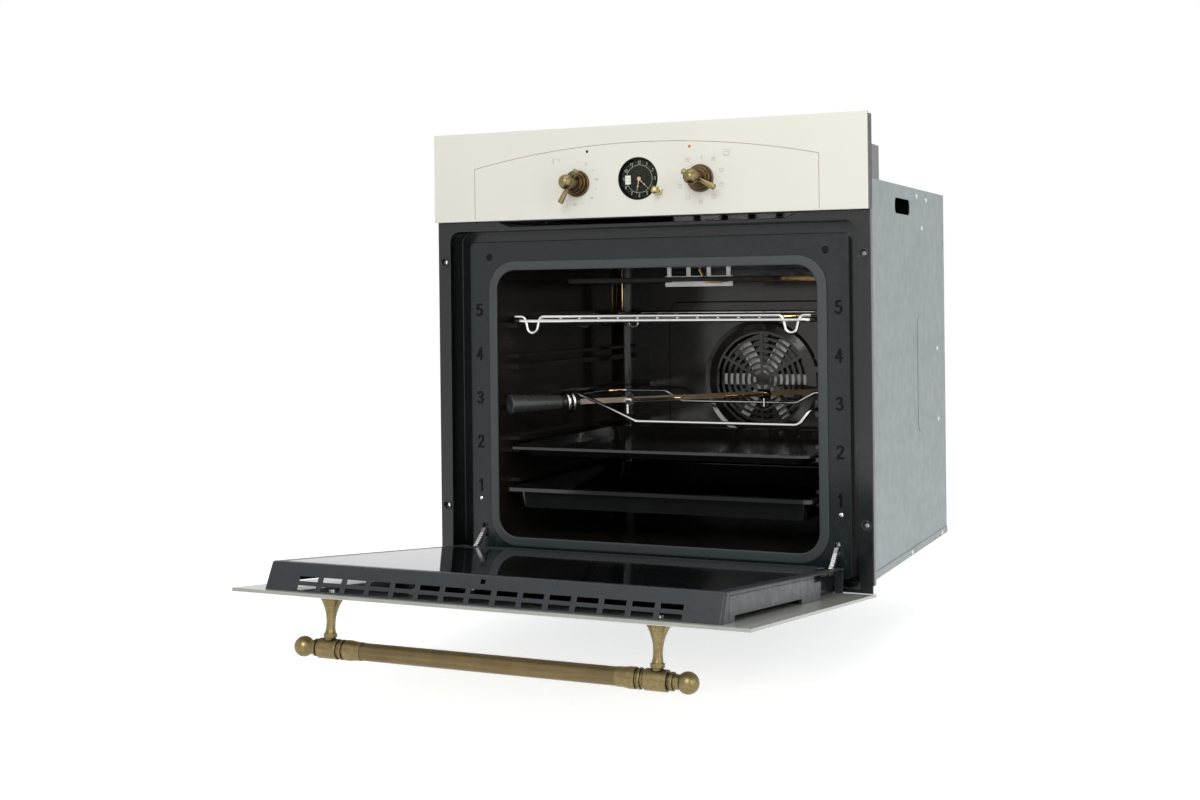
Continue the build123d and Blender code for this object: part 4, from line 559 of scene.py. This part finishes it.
for step in range(9):
    x, z = polar(-KNOB_X, KNOB_Z, NUMBERS_R, NUMBERS_START + NUMBERS_TURN * step)
    if step % 2:
        pale += number_strokes(NUMBERS_STEP * (step + 1), x, z, NUMBERS_SIZE)
    else:
        dark.append([(x, z - TICK_HALF), (x, z + TICK_HALF)])
dark.append(DEGREE_BAR)
pale += [DEGREE_DASH, DEGREE_RING]
for step in ICONS:
    x, z = polar(KNOB_X, KNOB_Z, ICONS_R, ICONS_TURN * step)
    pale.append(box_stroke(x, z, ICON_WIDTH, ICON_HEIGHT))
    if step % 2:
        pale.append([(x - BAR_HALF, z + BAR_RISE), (x + BAR_HALF, z + BAR_RISE)])
    if step % 3:
        pale.append([(x - BAR_HALF, z - BAR_RISE), (x + BAR_HALF, z - BAR_RISE)])
    if step % 4 == 1:
        crest, trough = (x - WAVE_X, z + WAVE_Z), (x + WAVE_X, z - WAVE_Z)
        pale.append([(x - BAR_HALF, z), crest, trough, (x + BAR_HALF, z)])
dark.append(OFF_MARK)
pale += OVEN_ICON
icon_ink = ink("icon_ink_look", linear(176, 172, 160))
dark_ink = ink("dark_ink_look", linear(110, 104, 94))
printed("panel_symbols", pale, ICON_LINE, PRINT_LIFT, icon_ink)
printed("panel_ticks", dark, TICK_WIDTH, PRINT_LIFT, dark_ink)

# ---- Clock dial: a window with bars, a ring with hour ticks, and the hours ----
RING_R = 17.7
RING_STEPS = 60
RING_WIDTH = 0.5
HOUR_TICK_R = 19.0
HOUR_R = 21.4
HOUR_SIZE = 3.8
HOUR_WIDTH = 0.55
HOUR_TURN = 30
WINDOW_X = -15.6
WINDOW_Z = (CLOCK_Z - 6.8, CLOCK_Z + 4.6)
WINDOW_WIDTH = 7.6
WINDOW_LIFT = 0.05
POST_X = (-17.4, -13.8)
POST_Z = (CLOCK_Z - 5.4, CLOCK_Z + 3.2)
RAIL_X = (-18.6, -12.6)
RAIL_Z = (CLOCK_Z - 3.4, CLOCK_Z + 1.2)
BARS_WIDTH = 0.35
BARS_LIFT = 0.1
dial_lift = PRINT_LIFT - DIAL_DEPTH
ring = [arc_points(0, CLOCK_Z, RING_R, 0, 360, RING_STEPS)]
hours = []
for hour in range(12):
    angle = HOUR_TURN * hour
    ring.append([polar(0, CLOCK_Z, RING_R, angle), polar(0, CLOCK_Z, HOUR_TICK_R, angle)])
    x, z = polar(0, CLOCK_Z, HOUR_R, angle + HOUR_TURN)
    hours += number_strokes(hour + 1, x, z, HOUR_SIZE)
window = [[(WINDOW_X, z) for z in WINDOW_Z]]
bars = [[(x, z) for z in POST_Z] for x in POST_X] + [[(x, z) for x in RAIL_X] for z in RAIL_Z]
dial_ink = ink("dial_ink_look", linear(176, 178, 164))
window_ink = ink("window_ink_look", linear(232, 232, 222))
bar_ink = ink("bar_ink_look", linear(150, 150, 140))
printed("dial_window", window, WINDOW_WIDTH, dial_lift + WINDOW_LIFT, window_ink)
printed("dial_bars", bars, BARS_WIDTH, dial_lift + BARS_LIFT, bar_ink)
printed("dial_ring", ring, RING_WIDTH, dial_lift, dial_ink)
printed("dial_numbers", hours, HOUR_WIDTH, dial_lift, dial_ink)

# ---- Stage: a pale floor and a white world, both plain white where they are seen themselves ----
FLOOR_Z = -0.11
FLOOR_SIZE = 60
FLOOR_TONE = (0.79, 0.81)
FLOOR_GLOW = 0.66
WORLD_LIGHT = 0.45
WORLD_SEEN = 1.0
WHITE = (1, 1, 1, 1)


def switched(tree, plain, bright, target):
    """Show the bright shader to rays from the camera, a mirror or through glass, else the plain one."""
    rays = tree.nodes.new("ShaderNodeLightPath")
    seen = rays.outputs["Is Camera Ray"]
    for kind in ("Is Glossy Ray", "Is Transmission Ray"):
        either = tree.nodes.new("ShaderNodeMath")
        either.operation = "MAXIMUM"
        tree.links.new(seen, either.inputs[0])
        tree.links.new(rays.outputs[kind], either.inputs[1])
        seen = either.outputs[0]
    choice = tree.nodes.new("ShaderNodeMixShader")
    for source, socket in zip((seen, plain, bright), choice.inputs):
        tree.links.new(source, socket)
    tree.links.new(choice.outputs[0], target)


floor_look = Shader("floor_look")
floor_look.base(floor_look.between(floor_look.noise(1.5, detail=2.0), *FLOOR_TONE))
floor_look.bsdf.inputs["Roughness"].default_value = 0.9
floor_look.bsdf.inputs["Specular IOR Level"].default_value = 0.0
glow = floor_look.add("ShaderNodeEmission")
glow.inputs["Strength"].default_value = FLOOR_GLOW
lifted = floor_look.add("ShaderNodeAddShader")
floor_look.join(floor_look.bsdf.outputs[0], lifted.inputs[0])
floor_look.join(glow.outputs[0], lifted.inputs[1])
floor_end = floor_look.tree.nodes["Material Output"].inputs["Surface"]
switched(floor_look.tree, floor_look.bsdf.outputs[0], lifted.outputs[0], floor_end)
bpy.ops.mesh.primitive_plane_add(size=FLOOR_SIZE, location=(0, 0, FLOOR_Z))
floor = bpy.context.object
floor.name = "floor"
floor.data.materials.append(floor_look.mat)

world = bpy.data.worlds.new("studio")
bpy.context.scene.world = world
world.use_nodes = True
world_nodes = world.node_tree.nodes
dim = world_nodes["Background"]
white = world_nodes.new("ShaderNodeBackground")
for background, strength in ((dim, WORLD_LIGHT), (white, WORLD_SEEN)):
    background.inputs["Color"].default_value = WHITE
    background.inputs["Strength"].default_value = strength
world_end = world_nodes["World Output"].inputs["Surface"]
switched(world.node_tree, dim.outputs[0], white.outputs[0], world_end)


# ---- Lights, in metres and watts ----
def softbox(name, place, target, size, power):
    data = bpy.data.lights.new(name, "AREA")
    data.shape = "RECTANGLE"
    data.size, data.size_y = size
    data.energy = power
    lamp = bpy.data.objects.new(name, data)
    bpy.context.scene.collection.objects.link(lamp)
    lamp.location = place
    lamp.rotation_euler = (Vector(target) - Vector(place)).to_track_quat("-Z", "Y").to_euler()


softbox("key", (0.45, -2.6, 1.5), target=(0, -0.1, 0.25), size=(1.4, 1.4), power=32)
softbox("side", (2.4, -0.4, 1.1), target=(0.2, 0.1, 0.25), size=(1.2, 1.6), power=8)
softbox("strip", (2.0, -1.6, 0.75), target=(0, -0.1, 0.25), size=(0.22, 1.5), power=8)
softbox("top", (0.2, -0.3, 2.4), target=(0, 0.0, 0.2), size=(1.6, 1.6), power=10)

# ---- Camera, solved from the photo ----
CAMERA_PLACE = spot(777.8, -1852.0, 359.85)
TURN = math.radians(24.2)
LEVEL = math.radians(90)
ROLL = math.radians(-0.66)
camera_data = bpy.data.cameras.new("camera")
camera_data.sensor_width = 36.0
camera_data.lens = 47.395
camera_data.shift_y = -0.0871
camera = bpy.data.objects.new("camera", camera_data)
bpy.context.scene.collection.objects.link(camera)
camera.matrix_world = (
    Matrix.Translation(CAMERA_PLACE)
    @ Matrix.Rotation(TURN, 4, "Z")
    @ Matrix.Rotation(LEVEL, 4, "X")
    @ Matrix.Rotation(ROLL, 4, "Z")
)
bpy.context.scene.camera = camera
bpy.context.scene.view_settings.view_transform = "Standard"
